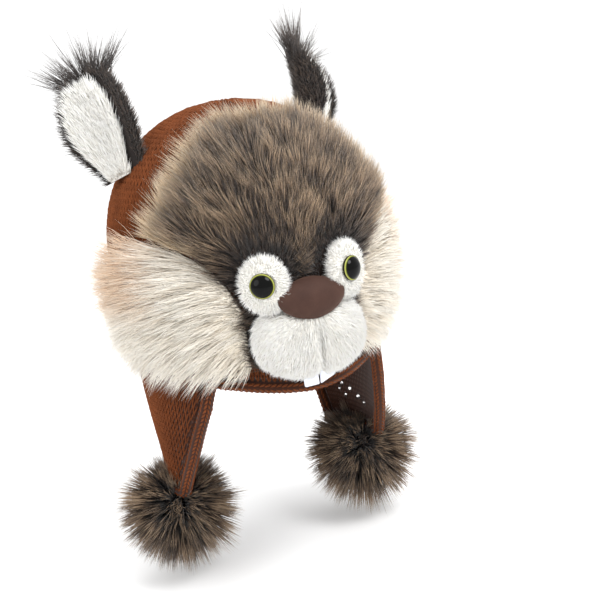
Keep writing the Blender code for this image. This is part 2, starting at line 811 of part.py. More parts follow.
def make_pompom(name, side, finish):
    """A ball of locks on a core, with a slot in its top for the flap's tip."""
    middle, across, down, out = tip_place(side)
    reach = EDGING_THICKNESS + 5 * SEAT_GAP
    core = POMPOM_CORE / 2
    centre = middle + (reach + core * POMPOM_SEAT) * down
    bm = bmesh.new()
    rows = []
    for j in range(1, POMPOM_RINGS):
        tilt = pi * j / POMPOM_RINGS
        row = []
        for k in range(POMPOM_SPOKES):
            angle = 2 * pi * (k + 0.5 * (j % 2)) / POMPOM_SPOKES
            way = Vector((sin(tilt) * cos(angle), sin(tilt) * sin(angle), cos(tilt)))
            row.append(centre + core * way)
        rows.append(row)
    made = skin_grid(bm, rows, loop_columns=True)
    for ring, end in ((made[0], 1), (made[-1], -1)):
        pole = bm.verts.new(centre + Vector((0, 0, end * core)))
        for i in range(POMPOM_SPOKES):
            bm.faces.new((pole, ring[i], ring[(i + 1) % POMPOM_SPOKES]))
    for n, face in enumerate(list(bm.faces)):
        place = face.calc_center_median()
        away = (place - centre).normalized()
        if -away.dot(down) > POMPOM_BARE:
            continue
        length = (POMPOM_DIAMETER / 2 - core) * (0.8 + 0.28 * hashed(n, side + 5))
        droop = Vector((0, 0, -0.18 * length))
        poked = bmesh.ops.poke(bm, faces=[face])
        poked["verts"][0].co = centre + (core + length) * away + droop
    ball = add_object(name, bm, finish)

    slot = bmesh.new()
    bmesh.ops.create_cube(slot, size=1.0)
    tall = POMPOM_DIAMETER
    frame = Matrix.Translation(middle + (reach - tall / 2) * down)
    frame = frame @ Matrix((across, out, down)).transposed().to_4x4()
    size = Matrix.Diagonal((POMPOM_DIAMETER, POMPOM_SLOT, tall, 1.0))
    bmesh.ops.transform(slot, matrix=frame @ size, verts=slot.verts)
    cut(ball, add_object("slot_cutter_" + name, slot, finish, helper=True))
    return ball


def make_mask(finishes):
    forehead = make_forehead(finishes["fur"])
    muzzle = make_muzzle("muzzle", finishes["plush"])
    make_nose("nose", finishes["velour"])
    nose_seat = make_nose("nose_cutter", finishes["velour"], helper=True, grow=SEAT_GAP)
    muzzle_seat = make_muzzle("muzzle_cutter", finishes["plush"], helper=True, grow=SEAT_GAP)
    cut(muzzle, nose_seat)
    cut(forehead, nose_seat)
    cut(forehead, muzzle_seat)
    for name, side in (("right", -1), ("left", 1)):
        cut(make_patch("eye_patch_" + name, side, finishes["plush"]), nose_seat)
        seat = make_patch(
            "patch_cutter_" + name, side, finishes["plush"], helper=True, grow=SEAT_GAP, ahead=PATCH_CLEAR
        )
        cut(forehead, seat)
        make_eye("eye_" + name, side, finishes["eye"])
        make_tooth("tooth_" + name, side, finishes["felt"])
        cut(muzzle, make_tooth("tooth_cutter_" + name, side, finishes["felt"], helper=True, grow=SEAT_GAP))
        make_cheek("cheek_fur_" + name, side, finishes["white_fur"])


def main():
    for old in list(bpy.data.objects):
        bpy.data.objects.remove(old)
    finishes = materials()
    edge = make_knit(finishes["knit"])
    make_edging(edge, finishes["edging"])
    make_mask(finishes)
    dome = make_dome_cutter(finishes["knit"])
    for ear in EARS:
        make_ear(ear, finishes, dome)
    for name, side in (("right", -1), ("left", 1)):
        make_pompom("pompom_" + name, side, finishes["fur"])


main()
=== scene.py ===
from functools import partial
from math import cos, degrees, pi, radians, sin, sqrt

import bmesh
import bpy
import numpy as np
from mathutils import Matrix, Vector


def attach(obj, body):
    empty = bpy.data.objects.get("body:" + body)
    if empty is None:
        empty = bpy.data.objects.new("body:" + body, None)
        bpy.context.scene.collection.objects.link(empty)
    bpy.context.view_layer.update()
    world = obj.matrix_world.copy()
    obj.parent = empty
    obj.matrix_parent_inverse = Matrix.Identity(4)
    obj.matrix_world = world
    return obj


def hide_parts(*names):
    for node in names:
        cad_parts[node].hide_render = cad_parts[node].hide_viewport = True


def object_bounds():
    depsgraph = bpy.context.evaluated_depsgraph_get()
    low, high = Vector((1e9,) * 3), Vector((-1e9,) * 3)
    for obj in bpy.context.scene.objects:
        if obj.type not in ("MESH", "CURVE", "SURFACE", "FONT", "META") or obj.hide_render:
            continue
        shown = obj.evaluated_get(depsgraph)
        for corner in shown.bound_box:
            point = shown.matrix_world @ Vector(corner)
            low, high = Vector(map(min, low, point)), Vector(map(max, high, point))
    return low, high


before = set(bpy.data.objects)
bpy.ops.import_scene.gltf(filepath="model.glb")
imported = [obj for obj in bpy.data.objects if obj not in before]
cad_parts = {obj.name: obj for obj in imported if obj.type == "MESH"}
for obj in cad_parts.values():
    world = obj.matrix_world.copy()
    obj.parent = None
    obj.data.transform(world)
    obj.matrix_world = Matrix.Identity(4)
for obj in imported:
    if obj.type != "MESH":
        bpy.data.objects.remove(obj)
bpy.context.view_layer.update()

scene = bpy.context.scene

# Shared form: metres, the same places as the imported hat
# A turn is degrees round the head from the front, a drop is a height below the crown's outer top

crown = {
    "wall": 0.0045,
    "width": 0.180,
    "length": 0.206,
    "height": 0.164,
    "widestDrop": 0.095,
    "rimShare": 0.92,
    "power": 2.1,
    "frontDip": 0.008,
}
flap = {
    "length": 0.084,
    "lean": 0.1,
    "curl": 0.011,
    "curlAcross": 1.6,
    "curlAlong": 1.3,
    "along": (0.0, 0.25, 0.50, 0.75, 1.0),
    "front": (51.0, 56.0, 62.5, 69.0, 76.0),
    "back": (142.0, 131.0, 122.0, 114.0, 106.0),
}
maskTurn = -6.0
sideNames = (("right", -1), ("left", 1))


def smooth(share):
    share = min(1.0, max(0.0, share))
    return share * share * (3 - 2 * share)


def levelShare(drop):
    if drop < crown["widestDrop"]:
        level = 1 - max(drop, 0.0) / crown["widestDrop"]
        return max(1 - level ** crown["power"], 0.0) ** (1 / crown["power"])
    if drop < crown["height"]:
        wall = crown["height"] - crown["widestDrop"]
        return 1 - (1 - crown["rimShare"]) * ((drop - crown["widestDrop"]) / wall) ** 2
    return crown["rimShare"] - flap["lean"] * (drop - crown["height"])


def onLevel(turn, drop):
    share = levelShare(drop)
    angle = radians(turn)
    return Vector((
        crown["width"] / 2 * share * sin(angle),
        -crown["length"] / 2 * share * cos(angle),
        crown["wall"] - drop,
    ))


def outward(turn, drop):
    if drop < 1e-4:
        return Vector((0, 0, 1))
    step = min(1e-4, drop / 2)
    across = onLevel(turn + 0.1, drop) - onLevel(turn - 0.1, drop)
    down = onLevel(turn, drop + step) - onLevel(turn, drop - step)
    return down.cross(across).normalized()


def onKnit(turn, drop, lift=0.0):
    return onLevel(turn, drop) + lift * outward(turn, drop)


def onMask(turn, drop, lift=0.0):  # the mask is sewn on a little off the flaps' middle
    return onKnit(turn + maskTurn, drop, lift)


def upDome(turn, drop):
    step = min(1e-4, drop / 2)
    return (onMask(turn, drop - step) - onMask(turn, drop + step)).normalized()


def roundHead(turn, drop):
    return (onMask(turn + 0.5, drop) - onMask(turn - 0.5, drop)).normalized()


def rimDrop(turn):
    turn = (turn + 180) % 360 - 180
    return crown["height"] + crown["frontDip"] * smooth(1 - abs(turn) / flap["front"][0])


def flapEdges(along):
    return (
        float(np.interp(along, flap["along"], flap["front"])),
        float(np.interp(along, flap["along"], flap["back"])),
    )


def onFlap(side, share, along, lift=0.0):  # share runs from the flap's front edge to its back edge
    def at(share, along):
        front, back = flapEdges(along)
        turn = side * (front + (back - front) * share)
        place = onLevel(turn, crown["height"] + flap["length"] * along)
        across, along = max(share, 0.0) ** flap["curlAcross"], max(along, 0.0) ** flap["curlAlong"]
        return place - flap["curl"] * across * along * outward(turn, crown["height"])

    across = side * (at(share + 0.01, along) - at(share - 0.01, along))
    down = at(share, along + 0.01) - at(share, along - 0.01)
    return at(share, along) + lift * down.cross(across).normalized()


def maskFrame(turn, drop, lift, splay, tilt):  # Z looks out of the mask
    ahead = radians(maskTurn + splay)
    level = Vector((sin(ahead), -cos(ahead), 0))
    across = Vector((cos(ahead), sin(ahead), 0))
    out = (cos(radians(tilt)) * level + sin(radians(tilt)) * Vector((0, 0, 1))).normalized()
    upward = out.cross(across).normalized()
    place = onMask(turn, drop, lift)
    return Matrix.Translation(place) @ Matrix((across, upward, out)).transposed().to_4x4()


# Small helpers for meshes


def fade(value, start, width):  # 0 up to the start, then softly to 1 over the width
    return smooth((value - start) / width)


def putAttribute(mesh, key, values):  # one number or one vector for every point
    values = np.asarray(values, np.float32)
    kind, field = ("FLOAT", "value") if values.ndim == 1 else ("FLOAT_VECTOR", "vector")
    mesh.attributes.new(key, kind, "POINT").data.foreach_set(field, values.ravel())


def makeObject(name, points, faces, finish=None, **attributes):
    mesh = bpy.data.meshes.new(name)
    mesh.from_pydata([tuple(p) for p in points], [], [tuple(f) for f in faces])
    for key, values in attributes.items():
        putAttribute(mesh, key, values)
    if finish:
        mesh.materials.append(finish)
    if faces:
        mesh.shade_smooth()
    piece = bpy.data.objects.new(name, mesh)
    scene.collection.objects.link(piece)
    return piece


def gridFaces(rows, columns, first=0, wrap=False):
    faces = []
    for j in range(rows - 1):
        for i in range(columns if wrap else columns - 1):
            k = (i + 1) % columns
            a, b = first + j * columns, first + (j + 1) * columns
            faces.append((a + i, a + k, b + k, b + i))
    return faces


def slabFaces(rows, columns):  # two grids on top of each other, joined along their edges
    ring = list(range(columns))
    ring += [j * columns + columns - 1 for j in range(1, rows)]
    ring += [(rows - 1) * columns + i for i in range(columns - 2, -1, -1)]
    ring += [j * columns for j in range(rows - 2, 0, -1)]
    under = rows * columns
    rim = [(a, b, under + b, under + a) for a, b in zip(ring, ring[1:] + ring[:1])]
    return gridFaces(rows, columns) + gridFaces(rows, columns, under) + rim


def fanFaces(tip, first, spokes, turned=False):  # closes a ring of points to one tip
    pairs = [(first + k, first + (k + 1) % spokes) for k in range(spokes)]
    return [(tip, a, b) if turned else (tip, b, a) for a, b in pairs]


def outwardFaces(piece):  # one closed shell, its doubles merged and its faces turned outwards
    work = bmesh.new()
    work.from_mesh(piece.data)
    bmesh.ops.remove_doubles(work, verts=work.verts, dist=1e-6)
    bmesh.ops.recalc_face_normals(work, faces=work.faces)
    work.to_mesh(piece.data)
    work.free()
    piece.data.shade_smooth()
    return piece


def settle(piece):  # turns the evaluated object into a plain mesh and takes its modifiers off
    bpy.context.view_layer.update()
    graph = bpy.context.evaluated_depsgraph_get()
    mesh = bpy.data.meshes.new_from_object(piece.evaluated_get(graph), depsgraph=graph)
    piece.modifiers.clear()
    piece.data = mesh
    return piece


def coordinates(mesh, field="co"):
    values = np.empty(len(mesh.vertices) * 3, np.float32)
    mesh.vertices.foreach_get(field, values)
    return values.reshape(-1, 3).astype(float)


def moveVertices(mesh, places):
    mesh.vertices.foreach_set("co", places.astype(np.float32).ravel())
    mesh.update()


def dropHelpers(*pieces):
    for piece in pieces:
        bpy.data.objects.remove(piece)


# Nodes and materials


def addNode(tree, kind, feeds=None, **settings):  # a node with its settings, its values and its links
    made = tree.nodes.new(kind)
    for key, value in settings.items():
        setattr(made, key, value)
    for name, value in (feeds or {}).items():
        if isinstance(name, int):
            socket = made.inputs[name]
        else:
            socket = next(s for s in made.inputs if s.name == name and s.enabled)
        if isinstance(value, bpy.types.NodeSocket):
            tree.links.new(value, socket)
        else:
            socket.default_value = value
    return made


def result(made, name=None):
    return next(s for s in made.outputs if s.enabled and name in (None, s.name))


def colour(code):  # sRGB hex to linear
    parts = [int(code[i : i + 2], 16) / 255 for i in (1, 3, 5)]
    return tuple(p / 12.92 if p <= 0.04045 else ((p + 0.055) / 1.055) ** 2.4 for p in parts) + (1.0,)


shaderInputs = {
    "sheen": "Sheen Weight",
    "sheenRoughness": "Sheen Roughness",
    "sheenTint": "Sheen Tint",
    "ior": "IOR",
    "specular": "Specular IOR Level",
}


def newMaterial(name, roughness, **constants):
    made = bpy.data.materials.new(name)
    made.use_nodes = True
    shader = made.node_tree.nodes["Principled BSDF"]
    shader.inputs["Roughness"].default_value = roughness
    for key, value in constants.items():
        shader.inputs[shaderInputs[key]].default_value = value
    return made, made.node_tree, shader


def ramp(tree, fac, stops, interpolation="LINEAR"):
    made = addNode(tree, "ShaderNodeValToRGB", {"Fac": fac})
    bar = made.color_ramp
    bar.interpolation = interpolation
    while len(bar.elements) < len(stops):
        bar.elements.new(0.5)
    for element, (place, tone) in zip(bar.elements, stops):
        element.position = place
        element.color = colour(tone) if isinstance(tone, str) else (tone, tone, tone, 1.0)
    return result(made, "Color")


def attribute(tree, name, output="Fac"):
    return result(addNode(tree, "ShaderNodeAttribute", attribute_name=name), output)


def mixed(tree, fac, first, second):
    first, second = (colour(tone) if isinstance(tone, str) else tone for tone in (first, second))
    made = addNode(tree, "ShaderNodeMix", {"Factor": fac, "A": first, "B": second}, data_type="RGBA")
    return result(made, "Result")


def scaled(tree, value, low, high):  # 0..1 to low..high
    made = addNode(tree, "ShaderNodeMapRange", {"Value": value, "To Min": low, "To Max": high})
    return result(made, "Result")


def calculate(tree, operation, *values):
    return result(addNode(tree, "ShaderNodeMath", dict(enumerate(values)), operation=operation), "Value")


def speckle(tree, place, scale, detail):
    made = addNode(tree, "ShaderNodeTexNoise", {"Vector": place, "Scale": scale, "Detail": detail})
    return result(made, "Fac")


def objectPlace(tree):
    return result(addNode(tree, "ShaderNodeTexCoord"), "Object")


def paint(tree, shader, base, value=None):  # the base colour, made darker and lighter by value
    if value is not None:
        base = result(addNode(tree, "ShaderNodeHueSaturation", {"Color": base, "Value": value}), "Color")
    tree.links.new(base, shader.inputs["Base Color"])


def emboss(tree, shader, height, strength, distance):
    made = addNode(tree, "ShaderNodeBump", {"Height": height, "Strength": strength, "Distance": distance})
    tree.links.new(result(made, "Normal"), shader.inputs["Normal"])


# Acrylic faux fur: long cut pile, darker at its roots, with a soft gloss along the strands
def furMaterial(name, tones):
    made, tree, shader = newMaterial(
        name,
        tones.get("roughness", 0.55),
        sheen=tones.get("sheen", 0.15),
        sheenRoughness=0.5,
        specular=tones.get("specular", 0.35),
    )
    along, seed, lock, shade = (attribute(tree, key) for key in ("along", "seed", "lock", "shade"))

    def tone(key):
        return ramp(tree, along, tones[key])

    # some strands keep their dark tips, and whole locks go lighter or darker together
    luck = calculate(tree, "ADD", seed, lock)
    reach = {"Value": luck, "From Min": tones["tipFrom"], "From Max": tones["tipTo"]}
    share = result(addNode(tree, "ShaderNodeMapRange", reach), "Result")
    base = mixed(tree, share, tone("plain"), tone("tipped"))
    if "border" in tones:
        base = mixed(tree, calculate(tree, "MAXIMUM", shade, 0.0), base, tone("border"))
    if "dark" in tones:
        dark = calculate(tree, "MAXIMUM", calculate(tree, "MULTIPLY", shade, -1.0), 0.0)
        base = mixed(tree, dark, base, tone("dark"))
    paint(tree, shader, base, scaled(tree, seed, *tones.get("spread", (0.75, 1.2))))
    return made


# Woven backing under a pile, only seen between the strands
def backingMaterial(name, tone):
    weave = 0.0009  # metres from thread to thread
    made, tree, shader = newMaterial(name, 0.95)
    cloth = speckle(tree, objectPlace(tree), 1 / weave, 2.0)
    paint(tree, shader, colour(tone), scaled(tree, cloth, 0.7, 1.2))
    emboss(tree, shader, cloth, 0.5, 0.0004)
    return made


# Wool-blend yarn: matt, with plied strands and a fuzz that catches the light at its edges
def yarnMaterial(name, tones):
    made, tree, shader = newMaterial(
        name, 0.92, sheen=0.35, sheenRoughness=0.45, sheenTint=colour(tones["fuzz"]), specular=0.2
    )
    place = objectPlace(tree)
    fuzz = speckle(tree, place, 2200.0, 4.0)
    twist = {"Vector": place, "Scale": 380.0, "Distortion": 6.0, "Detail": 2.0}
    ply = result(addNode(tree, "ShaderNodeTexWave", twist, bands_direction="DIAGONAL"), "Fac")
    worn = mixed(tree, speckle(tree, place, 28.0, 3.0), tones["deep"], tones["lit"])
    stranded = mixed(tree, scaled(tree, ply, 0.0, 0.30), worn, tones["deep"])
    flecked = mixed(tree, scaled(tree, fuzz, -0.25, 0.5), stranded, tones["fuzz"])
    paint(tree, shader, flecked, scaled(tree, attribute(tree, "seed"), 0.86, 1.12))
    emboss(tree, shader, calculate(tree, "ADD", ply, fuzz), 0.55, 0.0004)
    return made


# Geometry Nodes: strands grown on a skin, and loops set on points


def calculateVector(tree, operation, *values):
    inputs = (0, "Scale") if operation == "SCALE" else (0, 1)
    made = addNode(tree, "ShaderNodeVectorMath", dict(zip(inputs, values)), operation=operation)
    return result(made, "Vector")


def readAttribute(tree, name, kind="FLOAT"):
    made = addNode(tree, "GeometryNodeInputNamedAttribute", {"Name": name}, data_type=kind)
    return result(made, "Attribute")


def geometryOf(tree, kind, feeds, **settings):
    return result(addNode(tree, kind, feeds, **settings), "Geometry")


def storeAttribute(tree, geometry, name, value, kind="FLOAT"):
    feeds = {"Geometry": geometry, "Name": name, "Value": value}
    return geometryOf(tree, "GeometryNodeStoreNamedAttribute", feeds, data_type=kind, domain="POINT")


def rollDice(tree, low, high, seed):
    kind = "FLOAT_VECTOR" if isinstance(low, tuple) else "FLOAT"
    feeds = {"Min": low, "Max": high, "Seed": seed}
    return result(addNode(tree, "FunctionNodeRandomValue", feeds, data_type=kind), "Value")


def newTree(name, sockets, output):  # the first input takes the object's own geometry
    tree = bpy.data.node_groups.new(name, "GeometryNodeTree")
    for key, kind in sockets.items():
        tree.interface.new_socket(name=key, in_out="INPUT", socket_type="NodeSocket" + kind)
    tree.interface.new_socket(name=output, in_out="OUTPUT", socket_type="NodeSocketGeometry")
    return tree, {s.name: s for s in addNode(tree, "NodeGroupInput").outputs if s.name}


def copiesOn(tree, points, copied, turned, size):  # one real copy on every point
    feeds = {"Points": points, "Instance": copied, "Rotation": turned, "Scale": size}
    placed = addNode(tree, "GeometryNodeInstanceOnPoints", feeds)
    return geometryOf(tree, "GeometryNodeRealizeInstances", {"Geometry": result(placed, "Instances")})


def shifted(tree, geometry, offset, finish):  # moved, shaded smooth and given its material
    moved = geometryOf(tree, "GeometryNodeSetPosition", {"Geometry": geometry, "Offset": offset})
    rounded = geometryOf(tree, "GeometryNodeSetShadeSmooth", {"Geometry": moved})
    return geometryOf(tree, "GeometryNodeSetMaterial", {"Geometry": rounded, "Material": finish})


def joined(tree, *parts):
    both = addNode(tree, "GeometryNodeJoinGeometry")
    for part in parts:
        tree.links.new(part, both.inputs[0])
    return result(both, "Geometry")


hairInputs = {  # each input's name in a piece's settings, and its value where the piece gives none
    "Density": ("perSquareMetre", 0.0),
    "Length": ("length", 0.0),
    "Width": ("width", 0.0),
    "Segments": ("segments", 2),
    "Lean": ("lean", 0.0),
    "Curve": ("curve", 0.0),
    "Sag": ("sag", 0.0),
    "Lock Size": ("lockSize", 0.006),
    "Lock Pull": ("lockPull", 0.0),
    "Lock Spread": ("lockSpread", 0.0),
    "Frizz": ("frizz", 0.0),
    "Unevenness": ("unevenness", 0.3),
    "Seed": ("seed", 0),
}


def buildHairTree(onPoints):
    sockets = {"Skin": "Geometry"}
    for name, (_, value) in hairInputs.items():
        sockets[name] = "Int" if isinstance(value, int) else "Float"
    sockets["Pile"] = "Material"
    tree, given = newTree("strandsOnPoints" if onPoints else "pileOnSkin", sockets, "Fur")
    makers = (calculate, calculateVector, readAttribute, storeAttribute)
    maths, vectors, named, store = (partial(maker, tree) for maker in makers)

    def dice(low, high, offset):
        return rollDice(tree, low, high, maths("ADD", given["Seed"], float(offset)))

    place = result(addNode(tree, "GeometryNodeInputPosition"), "Position")
    if onPoints:
        roots, normal = given["Skin"], named("lay", "FLOAT_VECTOR")
    else:
        dense = maths("MULTIPLY", given["Density"], named("cover"))
        feeds = {"Mesh": given["Skin"], "Density": dense, "Seed": given["Seed"]}
        sown = addNode(tree, "GeometryNodeDistributePointsOnFaces", feeds, distribute_method="RANDOM")
        roots, normal = result(sown, "Points"), result(sown, "Normal")

    # what each strand keeps: its root, its dice, its lock and its length
    cellPlace = vectors("SCALE", place, maths("DIVIDE", 1.0, given["Lock Size"]))
    cell = addNode(tree, "ShaderNodeTexVoronoi", {"Vector": cellPlace, "Scale": 1.0, "Randomness": 1.0})
    lockTone = result(addNode(tree, "FunctionNodeSeparateColor", {0: result(cell, "Color")}), "Red")
    centre = vectors("SCALE", result(cell, "Position"), given["Lock Size"])
    roots = store(roots, "root", place, "FLOAT_VECTOR")
    roots = store(roots, "pull", vectors("SUBTRACT", centre, place), "FLOAT_VECTOR")
    roots = store(roots, "seed", dice(0.0, 1.0, 11))
    roots = store(roots, "lock", lockTone)
    uneven = maths("MULTIPLY", maths("SUBTRACT", dice(0.0, 1.0, 23), 0.6), given["Unevenness"])
    byLock = maths("MULTIPLY", maths("SUBTRACT", lockTone, 0.5), given["Lock Spread"])
    share = maths("ADD", maths("ADD", 1.0, uneven), byLock)
    long = maths("MULTIPLY", maths("MULTIPLY", given["Length"], named("pile")), share)
    roots = store(roots, "reach", long)

    # the strand itself: a slim three-sided spike, one unit high
    shape = {"Vertices": 3, "Side Segments": given["Segments"]}
    shape.update({"Radius Top": 0.0, "Radius Bottom": 1.0, "Depth": 1.0})
    spike = addNode(tree, "GeometryNodeMeshCone", shape, fill_type="NGON")
    high = result(addNode(tree, "ShaderNodeSeparateXYZ", {"Vector": place}), "Z")
    strand = store(result(spike, "Mesh"), "along", high)

    upright = vectors("SCALE", normal, maths("SUBTRACT", 1.0, given["Lean"]))
    laid = vectors("SCALE", named("lay", "FLOAT_VECTOR"), given["Lean"])
    stray = vectors("SCALE", dice((-1.0, -1.0, -1.0), (1.0, 1.0, 1.0), 37), 0.16)
    way = vectors("NORMALIZE", vectors("ADD", vectors("ADD", upright, laid), stray))
    turned = addNode(tree, "FunctionNodeAlignRotationToVector", {"Vector": way}, axis="Z")
    wide = maths("MULTIPLY", given["Width"], dice(0.35, 0.6, 41))
    size = addNode(tree, "ShaderNodeCombineXYZ", {"X": wide, "Y": wide, "Z": named("reach")})
    real = copiesOn(tree, roots, strand, result(turned, "Rotation"), result(size, "Vector"))

    # bend along the lay, sag under its own weight, gather into locks and frizz
    reach, along = named("reach"), named("along")
    squared = maths("MULTIPLY", along, along)
    bend = vectors("SCALE", named("lay", "FLOAT_VECTOR"), maths("MULTIPLY", given["Curve"], reach))
    fall = maths("MULTIPLY", maths("MULTIPLY", given["Sag"], reach), -1.0)
    sag = addNode(tree, "ShaderNodeCombineXYZ", {"Z": fall})
    bend = vectors("SCALE", vectors("ADD", bend, result(sag, "Vector")), squared)
    gather = vectors("SCALE", named("pull", "FLOAT_VECTOR"), maths("MULTIPLY", given["Lock Pull"], along))
    drift = vectors("SCALE", named("root", "FLOAT_VECTOR"), 420.0)
    drift = vectors("ADD", drift, vectors("SCALE", place, 90.0))
    noise = addNode(tree, "ShaderNodeTexNoise", {"Vector": drift, "Scale": 1.0, "Detail": 1.0})
    wave = vectors("SUBTRACT", result(noise, "Color"), (0.5, 0.5, 0.5))
    wave = vectors("SCALE", wave, maths("MULTIPLY", given["Frizz"], along))
    fur = shifted(tree, real, vectors("ADD", vectors("ADD", bend, gather), wave), given["Pile"])
    if not onPoints:
        fur = joined(tree, fur, given["Skin"])
    addNode(tree, "NodeGroupOutput", {"Fur": fur})
    return tree


def buildLoopTree():  # one stitch on every point, turned by its out and up directions
    sockets = {"Points": "Geometry", "Loop": "Object", "Cloth": "Object", "Wander": "Float"}
    tree, given = newTree("loopsOnPoints", dict(sockets, Seed="Int", Yarn="Material"), "Knit")
    out, up, size = (readAttribute(tree, key, "FLOAT_VECTOR") for key in ("out", "up", "size"))
    loop = geometryOf(tree, "GeometryNodeObjectInfo", {"Object": given["Loop"]})
    cloth = geometryOf(tree, "GeometryNodeObjectInfo", {"Object": given["Cloth"]})
    turned = addNode(
        tree,
        "FunctionNodeAxesToRotation",
        {"Primary Axis": out, "Secondary Axis": up},
        primary_axis="Z",
        secondary_axis="Y",
    )
    marked = storeAttribute(tree, given["Points"], "seed", rollDice(tree, 0.0, 1.0, given["Seed"]))
    real = copiesOn(tree, marked, loop, result(turned, "Rotation"), size)
    place = result(addNode(tree, "GeometryNodeInputPosition"), "Position")
    noise = addNode(tree, "ShaderNodeTexNoise", {"Vector": place, "Scale": 150.0, "Detail": 1.0})
    even = calculateVector(tree, "SUBTRACT", result(noise, "Color"), (0.5, 0.5, 0.5))
    shift = calculateVector(tree, "SCALE", even, given["Wander"])
    stitched = shifted(tree, real, shift, given["Yarn"])
    addNode(tree, "NodeGroupOutput", {"Knit": joined(tree, stitched, cloth)})
    return tree


pileTree = buildHairTree(onPoints=False)
strandTree = buildHairTree(onPoints=True)
loopTree = buildLoopTree()


def runTree(piece, tree, values):  # sets the inputs by identifier, then keeps the plain mesh
    modifier = piece.modifiers.new("grow", "NODES")
    modifier.node_group = tree
    for item in tree.interface.items_tree:
        if item.in_out == "INPUT" and item.name in values:
            modifier[item.identifier] = values[item.name]
    return settle(piece)


def grow(piece, hair, finish, tree=pileTree):
    values = {name: hair.get(key, value) for name, (key, value) in hairInputs.items()}
    return runTree(piece, tree, dict(values, Pile=finish))


def furPiece(name, rows, faces, backing, coat, hair, side=0):
    # a row is a place on the skin with its lay, its cover, its pile and its shade
    places, lays, covers, piles, shades = zip(*rows)
    skin = makeObject(name, places, faces, backing, pile=piles, cover=covers, shade=shades, lay=lays)
    return grow(outwardFaces(skin), dict(hair, seed=hair["seed"] + side), coat)


def finishPiece(piece, slot, *nodes):
    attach(piece, "root")
    if nodes:
        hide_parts(*nodes)
    triangles = sum(len(p.vertices) - 2 for p in piece.data.polygons)
    print("made", piece.name, triangles, "triangles")
    return piece


# Where the mask's pieces stand, used by the fur round them

muzzle = {
    "width": 0.078,
    "height": 0.048,
    "drop": 0.1375,
    "back": 0.0030,
    "stand": 0.031,
    "jut": 0.22,
    "power": 2.5,
}
nose = {"width": 0.045, "height": 0.027, "thickness": 0.020, "drop": 0.1110, "lift": 0.0160, "tilt": 22.0}
patch = {
    "width": 0.0285,
    "height": 0.0335,
    "thickness": 0.0075,
    "turn": 15.0,
    "drop": 0.1005,
    "lift": 0.0165,
    "splay": 28.0,
    "point": 0.10,
}
noseFrame = maskFrame(0, nose["drop"], nose["lift"], 0, nose["tilt"])
patchFrames = {
    side: maskFrame(side * patch["turn"], patch["drop"], patch["lift"], side * patch["splay"], 4.0)
    for side in (-1, 1)
}


def patchOutline(side, angle):
    wide, high = patch["width"] / 2, patch["height"] / 2
    radius = 1 / sqrt((cos(angle) / wide) ** 2 + (sin(angle) / high) ** 2)
    closeness = max(0.0, cos(angle - (-pi / 2 - side * 0.5))) ** 6
    return radius * (1 + patch["point"] * closeness)


def muzzleShare(turn, drop):  # under 1 inside the muzzle's footprint
    across = abs(radians(turn) * crown["length"] / 2) / (muzzle["width"] / 2)
    upward = abs(muzzle["drop"] - drop) / (muzzle["height"] / 2)
    return (across ** muzzle["power"] + upward ** muzzle["power"]) ** (1 / muzzle["power"])


def noseShare(place):
    local = noseFrame.inverted() @ place
    return sqrt((local.x / (nose["width"] / 2)) ** 2 + (local.y / (nose["height"] / 2)) ** 2)


def patchShare(side, place):
    local = patchFrames[side].inverted() @ place
    angle = np.arctan2(local.y, local.x)
    return sqrt(local.x**2 + local.y**2) / patchOutline(side, angle)


# Knitted crown and flaps

knit = {
    "columnTurn": 2.4,  # degrees between two columns of stitches at the wall, 4 mm
    "row": 0.0043,  # metres between two rows
    "bands": (150, 120, 90, 72, 54, 36, 24, 12),  # columns left after each decrease round
    "narrowest": 0.0034,
    "sunk": 0.0013,  # how deep the cloth lies under the wall's outside
    "loopDepth": 0.0008,  # how deep the stitches' middles lie
    "apexHole": 0.0035,
    "edgeMargin": 1.6,  # degrees kept free along a flap's edge
    "frontColumns": 34,  # columns and rows of the cloth's own mesh
    "flapColumns": 30,
    "backColumns": 26,
    "domeRows": 18,
    "wallRows": 14,
    "flapRows": 24,
    "wander": 0.0007,
    "seed": 4,
    "holeMargin": 0.0011,  # metres from a hole's edge to the nearest stitch's middle
    "holeDepth": 0.03,
    "holes": (  # slipped stitches in the wearer's left flap
        {"share": 0.730, "along": 0.735, "radius": 0.0011},
        {"share": 0.780, "along": 0.790, "radius": 0.0009},
        {"share": 0.620, "along": 0.770, "radius": 0.0013},
        {"share": 0.705, "along": 0.835, "radius": 0.0009},
        {"share": 0.485, "along": 0.815, "radius": 0.0012},
        {"share": 0.375, "along": 0.855, "radius": 0.0009},
    ),
}
# the pulled holes run slanted through the cloth
knitHoleWay = Vector((0.4234, 0.8682, -0.2588)).normalized()
knitYarn = yarnMaterial("rustWoolBlendYarn", {"deep": "#43200f", "lit": "#7f421f", "fuzz": "#9d5e39"})
crochetYarn = yarnMaterial("rustCrochetYarn", {"deep": "#4a2511", "lit": "#7b3f1c", "fuzz": "#985833"})


# The cloth behind the loops: the reverse side of the knit, with rows of purl bumps, its colour painted far
# darker than the yarn as painted shade inside the hat and between the loops
def shadedReverseKnitMaterial():
    made, tree, shader = newMaterial("reverseOfKnitPaintedShade", 0.95, sheen=0.2, sheenRoughness=0.5, specular=0.15)
    loom = addNode(tree, "ShaderNodeSeparateXYZ", {"Vector": attribute(tree, "loom", "Vector")})
    waves = []
    for axis in ("X", "Y"):
        turned = calculate(tree, "MULTIPLY", result(loom, axis), 2 * pi)
        waves.append(calculate(tree, "SINE", turned))
    height = scaled(tree, calculate(tree, "ADD", *waves), 0.5, 0.75)
    # painted shade: the ramp stays below the yarn's own colour and goes darkest in the hollows between the
    # purl bumps
    paint(tree, shader, ramp(tree, height, ((0.2, "#1c0d07"), (0.8, "#43210f"))))
    emboss(tree, shader, height, 0.9, 0.0009)
    return made


shadedReverseKnit = shadedReverseKnitMaterial()


